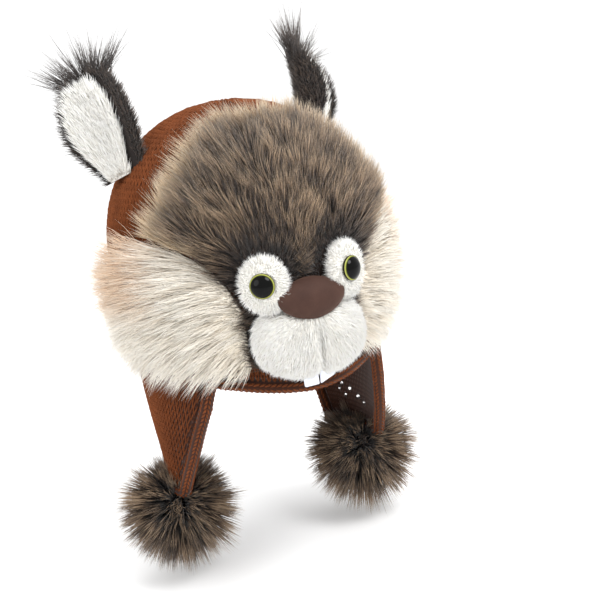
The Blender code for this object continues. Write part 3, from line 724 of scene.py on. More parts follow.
def knitTurns():
    front, back = flap["front"][0], flap["back"][0]
    ends = (-front, front, back, 360 - back, 360 - front)
    counts = [knit[key] for key in ("frontColumns", "flapColumns", "backColumns", "flapColumns")]
    spans = zip(ends, ends[1:], counts)
    return [low + (high - low) * i / count for low, high, count in spans for i in range(count)]


def clothRows(turns, lift):
    rows = []
    low, dome, wall = crown["widestDrop"], knit["domeRows"], knit["wallRows"]
    for k in range(1, dome + 1):
        level = cos(pi / 2 * k / dome) ** (2 / crown["power"]) if k < dome else 0.0
        rows.append([onKnit(turn, low * (1 - level), lift) for turn in turns])
    for k in range(1, wall + 1):
        rows.append([onKnit(turn, low + (rimDrop(turn) - low) * k / wall, lift) for turn in turns])
    return rows


def clothFace(turns, lift, points, faces, loom):  # one side of the cloth; returns its free edge
    def add(row, marks):  # the marks count columns and rows, for the purl bumps
        first = len(points)
        points.extend(row)
        loom.extend((i, j, 0.0) for i, j in marks)
        return list(range(first, first + len(row)))

    count, span, flapRows = len(turns), knit["flapColumns"], knit["flapRows"]
    made = []
    for j, row in enumerate(clothRows(turns, lift)):
        made.append(add(row, [(turn / knit["columnTurn"], j * 2.0) for turn in turns]))
    faces.extend(gridFaces(len(made), count, made[0][0], wrap=True))
    top = add([Vector((0, 0, crown["wall"] + lift))], [(0, 0)])[0]
    faces.extend(fanFaces(top, made[0][0], count))
    rim = made[-1]
    edge, previous = [], 0
    left = knit["frontColumns"]
    for side, first in ((1, left), (-1, left + span + knit["backColumns"])):
        edge += rim[previous : first + 1]
        above = [rim[(first + i) % count] for i in range(span + 1)]
        shares = [i / span if side > 0 else 1 - i / span for i in range(span + 1)]
        below = []
        for k in range(1, flapRows + 1):
            row = add(
                [onFlap(side, share, k / flapRows, lift) for share in shares],
                [(i * 1.2, 28 + k) for i in range(span + 1)],
            )
            faces.extend((above[i], above[i + 1], row[i + 1], row[i]) for i in range(span))
            above = row
            below.append(row)
        edge += [row[0] for row in below[:-1]] + below[-1] + [row[-1] for row in reversed(below[:-1])]
        previous = first + span
    return edge + rim[previous:]


def makeCloth():
    turns = knitTurns()
    points, faces, loom = [], [], []
    outer = clothFace(turns, -knit["sunk"], points, faces, loom)
    inner = clothFace(turns, -crown["wall"], points, faces, loom)
    for i in range(len(outer)):
        k = (i + 1) % len(outer)
        faces.append((outer[i], outer[k], inner[k], inner[i]))
    edge = []
    for a, b in zip(outer, inner):
        out = (points[a] - points[b]).normalized()
        edge.append(((points[a] + knit["sunk"] * out + points[b]) / 2, out))
    # the cloth wears the darkened reverse colour: painted shade between the loops and inside the hat
    cloth = makeObject("clothBehindLoops", points, faces, shadedReverseKnit, loom=loom)
    return outwardFaces(cloth), edge


stitch = {  # one leg, in shares of a stitch: places along it with its radius there
    "stations": (
        ((0.04, -0.98, -0.12), 0.0),
        ((0.13, -0.42, 0.05), 0.115),
        ((0.30, 0.34, 0.10), 0.125),
        ((0.38, 0.98, -0.08), 0.0),
    ),
    "sides": 4,
    "plump": 1.25,  # height over width
}


def loopTemplate():  # one knit stitch: two plump legs that meet below and spread above
    points, faces = [], []
    sides = stitch["sides"]
    for side in (-1, 1):
        rings = []
        for (x, y, z), radius in stitch["stations"]:
            first = len(points)
            for k in range(sides if radius else 1):
                angle = 2 * pi * k / sides
                high = stitch["plump"] * radius * sin(angle)
                points.append((side * x + radius * cos(angle), y, z + high))
            rings.append(list(range(first, len(points))))
        for lower, upper in zip(rings, rings[1:]):
            for k in range(sides):
                n = (k + 1) % sides
                if len(lower) == 1:
                    faces.append((lower[0], upper[n], upper[k]))
                elif len(upper) == 1:
                    faces.append((lower[k], lower[n], upper[0]))
                else:
                    faces.append((lower[k], lower[n], upper[n], upper[k]))
    return outwardFaces(makeObject("knitLoop", points, faces, knitYarn))


def nearestHole(place, holes):
    def clear(hole):
        away = place - hole["place"]
        return away.cross(knitHoleWay).length - hole["radius"] if away.length < 0.02 else 1.0

    return min((clear(hole) for hole in holes), default=1.0)


def pierce(cloth, hole):  # a slipped stitch: a slanted hole right through the cloth
    bm = bmesh.new()
    size = {"radius1": hole["radius"], "radius2": hole["radius"], "depth": knit["holeDepth"]}
    bmesh.ops.create_cone(bm, cap_ends=True, segments=8, **size)
    turn = knitHoleWay.to_track_quat("Z", "Y").to_matrix().to_4x4()
    bmesh.ops.transform(bm, matrix=Matrix.Translation(hole["place"]) @ turn, verts=bm.verts)
    mesh = bpy.data.meshes.new("slippedStitch")
    bm.to_mesh(mesh)
    bm.free()
    cutter = bpy.data.objects.new("slippedStitch", mesh)
    scene.collection.objects.link(cutter)
    cut = cloth.modifiers.new("slippedStitch", "BOOLEAN")
    cut.operation = "DIFFERENCE"
    cut.object = cutter
    cut.solver = "EXACT"
    settle(cloth)
    dropHelpers(cutter)


panels = {  # stitches this well inside a sewn-on panel are left out
    "forehead": (0.14, 0.93),  # shares of the crown's height
    "foreheadMargin": 5.0,  # degrees
    "cheek": (20, 100),  # degrees
    "cheekMargin": 0.06,
    "cheekBottom": 0.90,
    "muzzle": 0.9,
}


def underPanel(turn, drop):
    turn = abs((turn - maskTurn + 180) % 360 - 180)
    share = drop / crown["height"]
    half = float(np.interp(share, foreheadSide["drop"], foreheadSide["turn"]))
    top = float(np.interp(turn, cheekTop["turn"], cheekTop["drop"])) + panels["cheekMargin"]
    high, low = panels["forehead"]
    front, back = panels["cheek"]
    underForehead = high < share < low and turn < half - panels["foreheadMargin"]
    underCheek = front < turn < back and top < share < panels["cheekBottom"]
    return underForehead or underCheek or muzzleShare(turn, drop) < panels["muzzle"]


foreheadSide = {
    "drop": (0.085, 0.110, 0.155, 0.250, 0.350, 0.445, 0.475, 0.505, 0.555, 0.620, 0.720, 0.955),
    "turn": (22.0, 31.0, 37.0, 44.5, 50.5, 56.5, 48.0, 38.5, 31.5, 26.5, 22.0, 21.5),
}
cheekTop = {
    "turn": (22.0, 26.5, 31.5, 38.5, 48.0, 56.5, 66.0, 80.0, 96.0, 107.0),
    "drop": (0.720, 0.620, 0.555, 0.505, 0.475, 0.455, 0.462, 0.540, 0.620, 0.700),
}


def knitStitches(holes):
    stitches = []

    def add(place, out, up, width, height):
        if nearestHole(place, holes) >= knit["holeMargin"]:
            stitches.append((place, out, up.normalized(), (width, height, width)))

    # rows from the rim to the top, evenly spaced along the cloth
    drops = crown["height"] * np.linspace(0.016, 1.0, 1500) ** 2
    path = [onLevel(60, d) for d in drops]
    steps = [0.0] + [(b - a).length for a, b in zip(path, path[1:])]
    run = np.cumsum(steps)
    for r in range(int(run[-1] / knit["row"])):
        drop = float(np.interp(run[-1] - (r + 0.5) * knit["row"], run, drops))
        around = pi * (crown["width"] + crown["length"]) / 2 * levelShare(drop)
        fitting = [n for n in knit["bands"] if around / n >= knit["narrowest"]]
        columns = fitting[0] if fitting else knit["bands"][-1]
        if around / (2 * pi) < knit["apexHole"]:
            break
        for i in range(columns):
            turn = 360 * (i + 0.5) / columns
            here = drop
            low = crown["widestDrop"]
            if drop > low:
                here = low + (drop - low) * (rimDrop(turn) - low) / (crown["height"] - low)
            if underPanel(turn, here):
                continue
            place = onKnit(turn, here, -knit["loopDepth"])
            out = outward(turn, here)
            beside = onLevel(turn + 0.5, here) - onLevel(turn - 0.5, here)
            width = beside.length * 360 / columns
            add(place, out, out.cross(beside), width, knit["row"])
    # the flaps carry the same columns on
    rows = int(flap["length"] / knit["row"])
    for side in (-1, 1):
        for r in range(rows):
            along = (r + 0.5) / rows
            front, back = flapEdges(along)
            for i in range(150):
                turn = knit["columnTurn"] * (i + 0.5)
                if turn > 180:
                    turn -= 360
                turn *= side
                if not front + knit["edgeMargin"] < turn < back - knit["edgeMargin"]:
                    continue
                share = (turn - front) / (back - front)
                place = onFlap(side, share, along, -knit["loopDepth"])
                out = (onFlap(side, share, along, 0.001) - onFlap(side, share, along)).normalized()
                beside = onFlap(side, share + 0.01, along) - onFlap(side, share - 0.01, along)
                up = onFlap(side, share, along - 0.01) - onFlap(side, share, along + 0.01)
                width = beside.length / (0.02 * (back - front)) * knit["columnTurn"]
                add(place, out, up, width, flap["length"] / rows)
    return stitches


def setLoops(name, stitches, cloth, yarn, settings):
    # a stitch is its place with its out and up directions and its size
    places, outs, ups, sizes = zip(*stitches)
    loop = loopTemplate()
    sown = makeObject(name, places, [], out=outs, up=ups, size=sizes)
    values = {"Loop": loop, "Cloth": cloth, "Wander": settings["wander"], "Seed": settings["seed"]}
    runTree(sown, loopTree, dict(values, Yarn=yarn))
    dropHelpers(cloth, loop)
    return sown


def makeKnit():
    middle = -crown["wall"] / 2
    holes = [dict(hole, place=onFlap(1, hole["share"], hole["along"], middle)) for hole in knit["holes"]]
    cloth, edge = makeCloth()
    for hole in holes:
        pierce(cloth, hole)
    sown = setLoops("knitted_crown", knitStitches(holes), cloth, knitYarn, knit)
    finishPiece(sown, "knit", "knit_crown")
    return edge


knitEdge = makeKnit()
print("knit done")

# Crocheted edging round every free edge

edging = {
    "thickness": 0.0075,
    "seatGap": 0.0004,
    "step": 0.0034,
    "core": 0.0041,
    "coreSides": 8,
    "lift": 0.0030,  # from the core's middle to each of the three rows of stitches
    "stitchWidth": 0.0066,
    "stitchDepth": 0.0046,
    "wander": 0.0009,
    "seed": 9,
}


def edgingPath(edge, reach):
    path = []
    count = len(edge)
    for i, (point, out) in enumerate(edge):
        before = (point - edge[i - 1][0]).normalized()
        after = (edge[(i + 1) % count][0] - point).normalized()
        first, second = before.cross(out).normalized(), after.cross(out).normalized()
        away = (first + second) / (1 + first.dot(second))
        path.append((point + reach * away, away.normalized(), out))
    return path


def evenPath(path, step):  # the same closed path at even steps
    places = np.array([p for p, _, _ in path] + [path[0][0]])
    aways = np.array([a for _, a, _ in path] + [path[0][1]])
    outs = np.array([o for _, _, o in path] + [path[0][2]])
    run = np.concatenate([[0], np.cumsum(np.linalg.norm(np.diff(places, axis=0), axis=1))])
    count = int(run[-1] / step)
    at = np.arange(count) * run[-1] / count

    def read(values):
        return [Vector([np.interp(t, run, values[:, k]) for k in range(3)]) for t in at]

    return list(zip(read(places), read(aways), read(outs)))


def makeEdging(edge):
    middle = edgingPath(edge, edging["thickness"] / 2 + edging["seatGap"])
    path = evenPath(middle, edging["step"])
    count, sides = len(path), edging["coreSides"]
    size = (edging["stitchWidth"], edging["step"], edging["stitchDepth"])
    tube, stitches = [], []
    for i, (place, away, out) in enumerate(path):
        away, out = away.normalized(), out.normalized()
        for k in range(sides):
            angle = 2 * pi * k / sides
            tube.append(place + edging["core"] * (cos(angle) * away + sin(angle) * out))
        forward = (path[(i + 1) % count][0] - place).normalized()
        for way in (out, away, -out):
            stitches.append((place + edging["lift"] * way, way, forward, size))
    faces = gridFaces(count, sides, wrap=True)
    last = (count - 1) * sides
    faces += [(last + k, last + (k + 1) % sides, (k + 1) % sides, k) for k in range(sides)]
    # the core wears the same darkened colour: painted shade between the crochet stitches
    core = outwardFaces(makeObject("edgingCore", tube, faces, shadedReverseKnit, loom=tube))
    sown = setLoops("crochet_edging", stitches, core, crochetYarn, edging)
    finishPiece(sown, "edging", "edging")


makeEdging(knitEdge)
print("edging done")

# Brown forehead fur

forehead = {
    "base": 0.0080,
    "edge": 0.0030,
    "backing": 0.0007,
    "perSquareMetre": 1150000.0,
    "length": 0.0165,
    "width": 0.00062,
    "segments": 2,
    "lean": 0.62,
    "curve": 0.20,
    "sag": 0.06,
    "lockSize": 0.0046,
    "lockPull": 0.75,
    "lockSpread": 0.30,
    "frizz": 0.0030,
    "unevenness": 0.45,
    "seed": 3,
    "borderWidth": 13.0,  # degrees of lighter hair along the panel's side
    "partReach": 2.2,  # sizes of an eye patch within which the hair turns away from it
    "partPush": 1.3,
    "rowDrops": (0.085, 0.11, 0.155, 0.25, 0.35, 0.445, 0.505, 0.62, 0.72, 0.955),
    "rowShares": (0.0, 0.055, 0.11, 0.22, 0.33, 0.44, 0.55, 0.66, 0.78, 1.0),
}
brownTones = {
    "plain": ((0.0, "#120d0a"), (0.45, "#2c221c"), (0.8, "#443529"), (1.0, "#57473a")),
    "tipped": ((0.0, "#1d1511"), (0.35, "#463629"), (0.65, "#8a725a"), (1.0, "#c2a988")),
    "border": ((0.0, "#5f4a3a"), (0.3, "#b09674"), (0.7, "#d8bf9d"), (1.0, "#e6d3b6")),
    "dark": ((0.0, "#130e0c"), (0.5, "#2a211d"), (1.0, "#463a33")),
    "tipFrom": 0.75,
    "tipTo": 1.35,
}
brownPile = furMaterial("brownAcrylicPile", brownTones)
brownBacking = backingMaterial("brownKnitBacking", "#2a1e18")


def foreheadBase(u, v):
    nearSide = smooth(min(u, 1 - u) / 0.22)
    nearTop = smooth(v / 0.20)
    return forehead["edge"] + (forehead["base"] - forehead["edge"]) * min(nearSide, nearTop)


def makeForehead():
    columns, rows = 60, 62
    top, bottom = foreheadSide["drop"][0], foreheadSide["drop"][-1]
    hairs = []
    for face in (1, 0):
        for j in range(rows):
            share = top + (bottom - top) * j / (rows - 1)
            half = float(np.interp(share, foreheadSide["drop"], foreheadSide["turn"]))
            drop = share * crown["height"]
            v = float(np.interp(share, forehead["rowDrops"], forehead["rowShares"]))
            for i in range(columns):
                u = i / (columns - 1)
                turn = half * (2 * u - 1)
                place = onMask(turn, drop, foreheadBase(u, v) if face else forehead["backing"])
                wave = 0.30 * sin(23 * u + 5 * sin(9 * v)) + 0.22 * sin(41 * u - 17 * v)
                lay = upDome(turn, drop) + (0.9 * (2 * u - 1) + wave) * roundHead(turn, drop)
                shares = {side: patchShare(side, place) for side in (-1, 1)}
                near = min(shares, key=shares.get)
                closest = shares[near]
                if closest < forehead["partReach"]:
                    away = place - patchFrames[near].translation
                    level = outward(turn + maskTurn, drop)
                    away = (away - away.dot(level) * level).normalized()
                    lay = lay.normalized() + forehead["partPush"] * (1 - fade(closest, 1, 1.2)) * away
                pile = 1.0 - 0.42 * fade(share, 0.50, 0.25)
                pile *= 0.45 + 0.55 * fade(closest, 0.95, 0.9)
                covered = closest < 0.93 or noseShare(place) < 0.9 or muzzleShare(turn, drop) < 0.95
                sideways = (half - abs(turn)) / forehead["borderWidth"]
                border = 1 - smooth(min(sideways, (share - top) / 0.055, 1.0))
                border *= 1 - fade(share, 0.47, 0.10)
                dark = max(0.0, 1 - (closest - 1.0) / 0.75) if share < 0.9 else 0.0
                dark = max(dark, 0.55 * fade(share, 0.5, 0.1))
                shade = border if border > dark else -min(dark, 1.0)
                cover = 0.0 if covered or not face else 1.0
                hairs.append((place, lay.normalized(), cover, pile, shade))
    faces = slabFaces(rows, columns)
    skin = furPiece("brown_forehead_fur", hairs, faces, brownBacking, brownPile, forehead)
    return finishPiece(skin, "fur", "forehead_fur")


makeForehead()
print("forehead done")

# Cream cheek fur

cheek = {
    "base": 0.0065,
    "edge": 0.0030,
    "backing": 0.0007,
    "gap": 0.0024,
    "bottom": 0.960,
    "perSquareMetre": 660000.0,
    "length": 0.0235,
    "width": 0.00066,
    "segments": 3,
    "lean": 0.74,
    "curve": 0.25,
    "sag": 0.10,
    "lockSize": 0.0075,
    "lockPull": 0.85,
    "lockSpread": 0.25,
    "frizz": 0.0055,
    "unevenness": 0.5,
    "seed": 7,
}
creamTones = {
    "plain": ((0.0, "#e2d9ca"), (0.3, "#f6efe2"), (0.7, "#fdf8ee"), (1.0, "#fffdf6")),
    "tipped": ((0.0, "#cfc3b2"), (0.3, "#ece2d2"), (0.7, "#f7f0e3"), (1.0, "#fdf8ee")),
    "border": ((0.0, "#b98c68"), (0.4, "#e3bf9b"), (1.0, "#f3dcc2")),
    "tipFrom": 0.6,
    "tipTo": 1.5,
    "spread": (0.88, 1.08),
    "sheen": 0.2,
}
creamPile = furMaterial("creamAcrylicPile", creamTones)
creamBacking = backingMaterial("creamKnitBacking", "#efe6d6")


def makeCheek(name, side):
    columns, rows = 42, 24
    gapTurn = degrees(cheek["gap"] / (crown["length"] / 2))
    first, last = cheekTop["turn"][0], cheekTop["turn"][-1]
    low = cheek["bottom"] * crown["height"]
    hairs = []
    for face in (1, 0):
        for j in range(rows):
            v = j / (rows - 1)
            for i in range(columns):
                u = i / (columns - 1)
                at = first + (last - first) * u**1.15
                high = float(np.interp(at, cheekTop["turn"], cheekTop["drop"])) * crown["height"]
                high += cheek["gap"]
                drop = high + (low - high) * v
                turn = side * (at + gapTurn)
                edges = (fade(u, 0, 0.15), fade(1 - u, 0, 0.15), fade(v, 0, 0.2), fade(1 - v, 0, 0.25))
                lift = cheek["edge"] + (cheek["base"] - cheek["edge"]) * min(edges)
                back = side * roundHead(turn, drop)
                down = -upDome(turn, drop)
                lay = ((1 - 0.30 * v) * back + (-0.16 + 0.72 * v) * down).normalized()
                place = onMask(turn, drop, lift if face else cheek["backing"])
                pile = (0.60 + 0.40 * fade(u, 0, 0.3)) * (1 - 0.30 * fade(u, 0.6, 0.4)) * (1 - 0.15 * v)
                peach = fade(u, 0.28, 0.25) * (1 - fade(v, 0.30, 0.35)) * (1 - fade(u, 0.8, 0.2))
                hairs.append((place, lay, float(face), pile, 0.9 * peach))
    faces = slabFaces(rows, columns)
    skin = furPiece("cream_cheek_fur_" + name, hairs, faces, creamBacking, creamPile, cheek, side)
    return finishPiece(skin, "white_fur", "cheek_fur_" + name)


for sideName, sideSign in sideNames:
    makeCheek(sideName, sideSign)
print("cheeks done")

# Stuffed pieces: muzzle, nose and eye patches


def stuff(piece, pad):  # swells a sewn cover with its filling, never further than its cap
    remesh = piece.modifiers.new("evenCloth", "REMESH")
    remesh.mode = "VOXEL"
    remesh.voxel_size = pad["voxel"]
    settle(piece)
    start = coordinates(piece.data)
    cloth = piece.modifiers.new("filling", "CLOTH")
    cloth.settings.quality = 6
    cloth.settings.use_pressure = True
    cloth.settings.uniform_pressure_force = pad["pressure"]
    cloth.settings.effector_weights.gravity = 0.0
    for step in range(1, 21):
        scene.frame_set(step)
    graph = bpy.context.evaluated_depsgraph_get()
    swollen = coordinates(piece.evaluated_get(graph).data)
    scene.frame_set(1)
    piece.modifiers.clear()
    shift = swollen - start
    reach = np.maximum(np.linalg.norm(shift, axis=1), 1e-9)
    moveVertices(piece.data, start + shift * np.minimum(1.0, pad["cap"] / reach)[:, None])
    finer = piece.modifiers.new("finer", "SUBSURF")
    finer.levels = finer.render_levels = 1
    settle(piece)
    piece.data.shade_smooth()
    return piece


def inFrame(places, frameOf):
    turnIn = np.array(frameOf.inverted())
    return places @ turnIn[:3, :3].T + turnIn[:3, 3]


def awayFrom(centre, places, outs):  # directions away from a point, laid flat on the skin
    away = places - np.array(centre)
    away -= (away * outs).sum(1)[:, None] * outs
    return away / np.maximum(np.linalg.norm(away, axis=1), 1e-6)[:, None]


def muzzlePlace(angle, share, lift, grow=0.0):
    across, upward = abs(cos(angle)), abs(sin(angle))
    wide, high = muzzle["width"] / 2 + grow, muzzle["height"] / 2 + grow
    power = muzzle["power"]
    radius = ((across / wide) ** power + (upward / high) ** power) ** (-1 / power) * share
    turn = degrees(radius * cos(angle) / (crown["length"] / 2))
    return onMask(turn, muzzle["drop"] - radius * sin(angle), lift)


whiteTones = {
    "plain": ((0.0, "#efece4"), (0.5, "#fdfcf8"), (1.0, "#ffffff")),
    "tipped": ((0.0, "#e6e2d8"), (0.5, "#f8f6f0"), (1.0, "#fffefb")),
    "tipFrom": 0.5,
    "tipTo": 1.5,
    "spread": (0.93, 1.05),
    "sheen": 0.3,
    "specular": 0.2,
    "roughness": 0.75,
}
plushPile = furMaterial("whitePlushPile", whiteTones)
plushBacking = backingMaterial("whitePlushGround", "#f6f4ee")

muzzlePad = {"voxel": 0.0022, "pressure": 4.0, "cap": 0.0016, "shrunk": 0.0012, "seam": 0.0034}
muzzlePile = {
    "perSquareMetre": 1400000.0,
    "length": 0.0062,
    "width": 0.00070,
    "segments": 1,
    "lean": 0.78,
    "frizz": 0.0012,
    "unevenness": 0.35,
    "lockSize": 0.006,
    "lockPull": 0.10,
    "seed": 15,
}


def makeMuzzle():
    rings = [0.12 * k for k in range(1, 8)] + [0.9, 0.95, 0.98, 1.0]
    spokes = 64
    back = muzzle["back"] + 0.0003
    points, faces = [], []
    shrunk = muzzlePad["shrunk"]
    for share in rings:
        for k in range(spokes):
            angle = 2 * pi * k / spokes
            rounded = max(1 - share**2.3, 0.0) ** (1 / 2.3)
            jut = 1 - muzzle["jut"] * share * sin(angle)
            stand = (muzzle["stand"] - muzzle["back"] - shrunk) * rounded * jut
            points.append(muzzlePlace(angle, share, back + max(0.001, stand), -shrunk))
    faces += gridFaces(len(rings), spokes, wrap=True)
    inner = len(points)
    for share in (0.9, 0.5):
        points += [muzzlePlace(2 * pi * k / spokes, share, back, -shrunk) for k in range(spokes)]
    last = (len(rings) - 1) * spokes
    for k in range(spokes):
        n = (k + 1) % spokes
        faces.append((last + k, last + n, inner + n, inner + k))
    faces += gridFaces(2, spokes, inner, wrap=True)
    points += [onMask(0, muzzle["drop"], muzzle["stand"] - shrunk), onMask(0, muzzle["drop"], back)]
    front, rear = len(points) - 2, len(points) - 1
    faces += fanFaces(front, 0, spokes) + fanFaces(rear, inner + spokes, spokes, turned=True)
    skin = outwardFaces(makeObject("stuffed_muzzle", points, faces, plushBacking))
    stuff(skin, muzzlePad)
    # the seam down the middle, pulled in by its thread, and the lay of the pile
    places, outs = coordinates(skin.data), coordinates(skin.data, "normal")
    local = inFrame(places, maskFrame(0, muzzle["drop"], 0.0, 0, 0))
    groove = np.exp(-((local[:, 0] / 0.0024) ** 2)) + 0.45 * np.exp(-((local[:, 0] / 0.008) ** 2))
    ahead = np.clip((local[:, 2] - 0.010) / 0.012, 0, 1) * np.clip((0.012 - local[:, 1]) / 0.012, 0.0, 1)
    sunk = muzzlePad["seam"] * groove * ahead
    places -= outs * sunk[:, None]
    moveVertices(skin.data, places)
    away = awayFrom(noseFrame.translation, places, coordinates(skin.data, "normal"))
    hidden = np.array([noseShare(Vector(p)) < 0.9 and l[1] > 0.0 for p, l in zip(places, local)])
    buried = local[:, 2] < 0.0035
    covers = np.where(hidden | buried, 0.0, 1.0)
    piles = 1.0 - 0.35 * np.exp(-((local[:, 0] / 0.002) ** 2)) * ahead
    putAttribute(skin.data, "cover", covers)
    putAttribute(skin.data, "pile", piles)
    putAttribute(skin.data, "lay", away)
    grow(skin, muzzlePile, plushPile)
    return finishPiece(skin, "plush", "muzzle")


makeMuzzle()
print("muzzle done")

patchPad = {"voxel": 0.0014, "pressure": 3.0, "cap": 0.0008}
patchPile = {
    "perSquareMetre": 2300000.0,
    "length": 0.0048,
    "width": 0.00062,
    "segments": 1,
    "lean": 0.70,
    "frizz": 0.0011,
    "unevenness": 0.4,
    "lockSize": 0.003,
    "lockPull": 0.15,
    "seed": 21,
}


def lensPoints(frameOf, outline, levels, spokes):
    points, faces = [], []
    for share, height in levels[1:-1]:
        for k in range(spokes):
            angle = 2 * pi * k / spokes
            radius = outline(angle) * share
            points.append(frameOf @ Vector((radius * cos(angle), radius * sin(angle), height)))
    count = len(levels) - 2
    faces += gridFaces(count, spokes, wrap=True)
    points += [frameOf @ Vector((0, 0, levels[0][1])), frameOf @ Vector((0, 0, levels[-1][1]))]
    last = (count - 1) * spokes
    back, front = len(points) - 2, len(points) - 1
    faces += fanFaces(back, 0, spokes, turned=True) + fanFaces(front, last, spokes)
    return points, faces


def makePatch(name, side):
    back = -patch["thickness"]
    levels = (
        (0, back), (0.4, back), (0.7, back), (0.92, back), (0.98, back + 0.0015), (0.99, back + 0.003),
        (0.98, -0.0030), (0.93, -0.0012), (0.8, -0.0006), (0.6, -0.0004), (0.3, -0.0004), (0, -0.0004),
    )
    points, faces = lensPoints(patchFrames[side], lambda a: patchOutline(side, a), levels, 40)
    skin = outwardFaces(makeObject("plush_patch_" + name, points, faces, plushBacking))
    stuff(skin, patchPad)
    places, outs = coordinates(skin.data), coordinates(skin.data, "normal")
    local = inFrame(places, patchFrames[side])
    flat = np.hypot(local[:, 0], local[:, 1])
    away = awayFrom(patchFrames[side].translation, places, outs)
    covers = np.where((flat < eye["diameter"] / 2 * 0.93) | (local[:, 2] < -0.0055), 0.0, 1.0)
    putAttribute(skin.data, "cover", covers)
    putAttribute(skin.data, "pile", np.clip((flat - eye["diameter"] / 2) / 0.004, 0.45, 1.0))
    putAttribute(skin.data, "lay", away)
    grow(skin, dict(patchPile, seed=patchPile["seed"] + side), plushPile)
    return finishPiece(skin, "plush", "eye_patch_" + name)


eye = {
    "diameter": 0.0155,
    "height": 0.0052,
    "gap": 0.0004,
    "paintedRefractionAside": (-0.10, 0.12),  # the pupil is painted a little up and to the wearer's right, where it looks to sit in the photograph: painted refraction of the clear dome, widening the ring on the lower, opposite side
}


# Moulded acrylic safety eye: clear gloss over a printed ring of yellow green
def eyeMaterial():
    made, tree, shader = newMaterial("mouldedAcrylicEye", 0.05, ior=1.49, specular=0.13)
    tones = (
        (0.0, "#030303"),
        (0.85, "#050504"),
        (0.88, "#3a4014"),
        (0.92, "#949a40"),
        (0.95, "#a8a662"),
        (0.98, "#2a2a12"),
        (1.0, "#16150c"),
    )
    paint(tree, shader, ramp(tree, attribute(tree, "radial"), tones))
    return made


eyeAcrylic = eyeMaterial()


def makeEye(name, side):
    radius, floor = eye["diameter"] / 2, eye["gap"]
    levels = [(0, floor), (0.6, floor), (0.97, floor), (1.0, floor + 0.0007)]
    for k in range(1, 15):
        share = cos(pi / 2 * k / 15)
        levels.append((share, floor + max(0.0016, eye["height"] * sqrt(1 - share * share))))
    levels.append((0, floor + eye["height"]))
    points, faces = lensPoints(patchFrames[side], lambda a: radius, levels, 48)
    turnIn = patchFrames[side].inverted()
    # the rings are drawn round a pupil shifted up and to the wearer's right: painted refraction of the clear
    # dome, which widens the ring on the lower, opposite side
    radials = []
    for point in points:
        local = turnIn @ point
        x, y = local.x / radius, local.y / radius
        level = sqrt(x * x + y * y)
        shift = 0.5 * (1 - level)
        radials.append(sqrt((x - eye["paintedRefractionAside"][0] * shift) ** 2 + (y - eye["paintedRefractionAside"][1] * shift) ** 2))
    made = makeObject("glossy_eye_" + name, points, faces, eyeAcrylic, radial=radials)
    return finishPiece(outwardFaces(made), "eye", "eye_" + name)


for sideName, sideSign in sideNames:
    makePatch(sideName, sideSign)
    makeEye(sideName, sideSign)
print("eyes done")

nosePad = {"voxel": 0.0013, "pressure": 4.0, "cap": 0.0007}


# Velour: a dense short nap that lightens where it is seen aslant
def velourMaterial():
    made, tree, shader = newMaterial(
        "brownVelour", 0.72, sheen=0.35, sheenRoughness=0.45, sheenTint=colour("#a08272"), specular=0.2
    )
    place = objectPlace(tree)
    nap = speckle(tree, place, 1600.0, 3.0)
    base = mixed(tree, speckle(tree, place, 90.0, 2.0), "#2f1d18", "#4c342b")
    paint(tree, shader, mixed(tree, scaled(tree, nap, -0.1, 0.5), base, "#2f1b15"))
    emboss(tree, shader, nap, 0.35, 0.0003)
    return made


def makeNose():
    seam = 0.0004
    power = 1.75

    def outline(angle):
        across, upward = abs(cos(angle)), abs(sin(angle))
        wide = nose["width"] / 2 - seam
        deep = nose["height"] * (0.46 if sin(angle) > 0 else 0.54) - seam
        return ((across / wide) ** power + (upward / deep) ** power) ** (-1 / power)

    half = nose["thickness"] / 2 - seam
    count = 15
    levels = []
    for k in range(count):
        angle = pi * k / (count - 1)
        levels.append((sin(angle), -half * cos(angle)))
    levels[0], levels[-1] = (0, -half), (0, half)
    points, faces = lensPoints(noseFrame, outline, levels, 64)
    made = outwardFaces(makeObject("velour_nose", points, faces, velourMaterial()))
    stuff(made, nosePad)
    return finishPiece(made, "velour", "nose")


makeNose()
print("nose done")

# Felt teeth

tooth = {
    "width": 0.0095,
    "length": 0.0150,
    "thickness": 0.0020,
    "gap": 0.0011,
    "tipDrop": 0.1650,
    "shown": 0.0028,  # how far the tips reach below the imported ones, out of the long pile
    "lift": 0.0220,
    "splay": 2.0,
    "slant": {-1: 0.0002, 1: 0.0042},  # how much the outer corner is cut up
}


# Pressed wool felt: matt, slightly blue white, with short matted fibres
def feltMaterial():
    made, tree, shader = newMaterial("pressedWhiteFelt", 0.95, sheen=0.3, sheenRoughness=0.6, specular=0.15)
    fibres = speckle(tree, objectPlace(tree), 1500.0, 5.0)
    paint(tree, shader, mixed(tree, fibres, "#dfe4f2", "#f6f8ff"))
    emboss(tree, shader, fibres, 0.5, 0.0003)
    return made


felt = feltMaterial()


def makeTooth(name, side):
    frameOf = maskFrame(0, tooth["tipDrop"], tooth["lift"], 0, 0)
    frameOf = frameOf @ Matrix.Rotation(radians(-side * tooth["splay"]), 4, "Z")
    near = side * tooth["gap"] / 2
    far = side * (tooth["gap"] / 2 + tooth["width"])
    cut = tooth["slant"][side]
    low = -tooth["shown"]
    outline = [(near, low), (far, low + cut), (far, tooth["length"]), (near, tooth["length"])]
    points = []
    for height in (-tooth["thickness"] / 2, tooth["thickness"] / 2):
        points += [frameOf @ Vector((x, y, height)) for x, y in outline]
    faces = [(0, 1, 2, 3), (4, 5, 6, 7)] + [(i, (i + 1) % 4, 4 + (i + 1) % 4, 4 + i) for i in range(4)]
    made = outwardFaces(makeObject("felt_tooth_" + name, points, faces, felt))
    soft = made.modifiers.new("softEdge", "BEVEL")
    soft.width = 0.0007
    soft.segments = 3
    settle(made)
    made.data.shade_smooth()
    return finishPiece(made, "felt", "tooth_" + name)


for sideName, sideSign in sideNames:
    makeTooth(sideName, sideSign)
print("teeth done")

# Ears

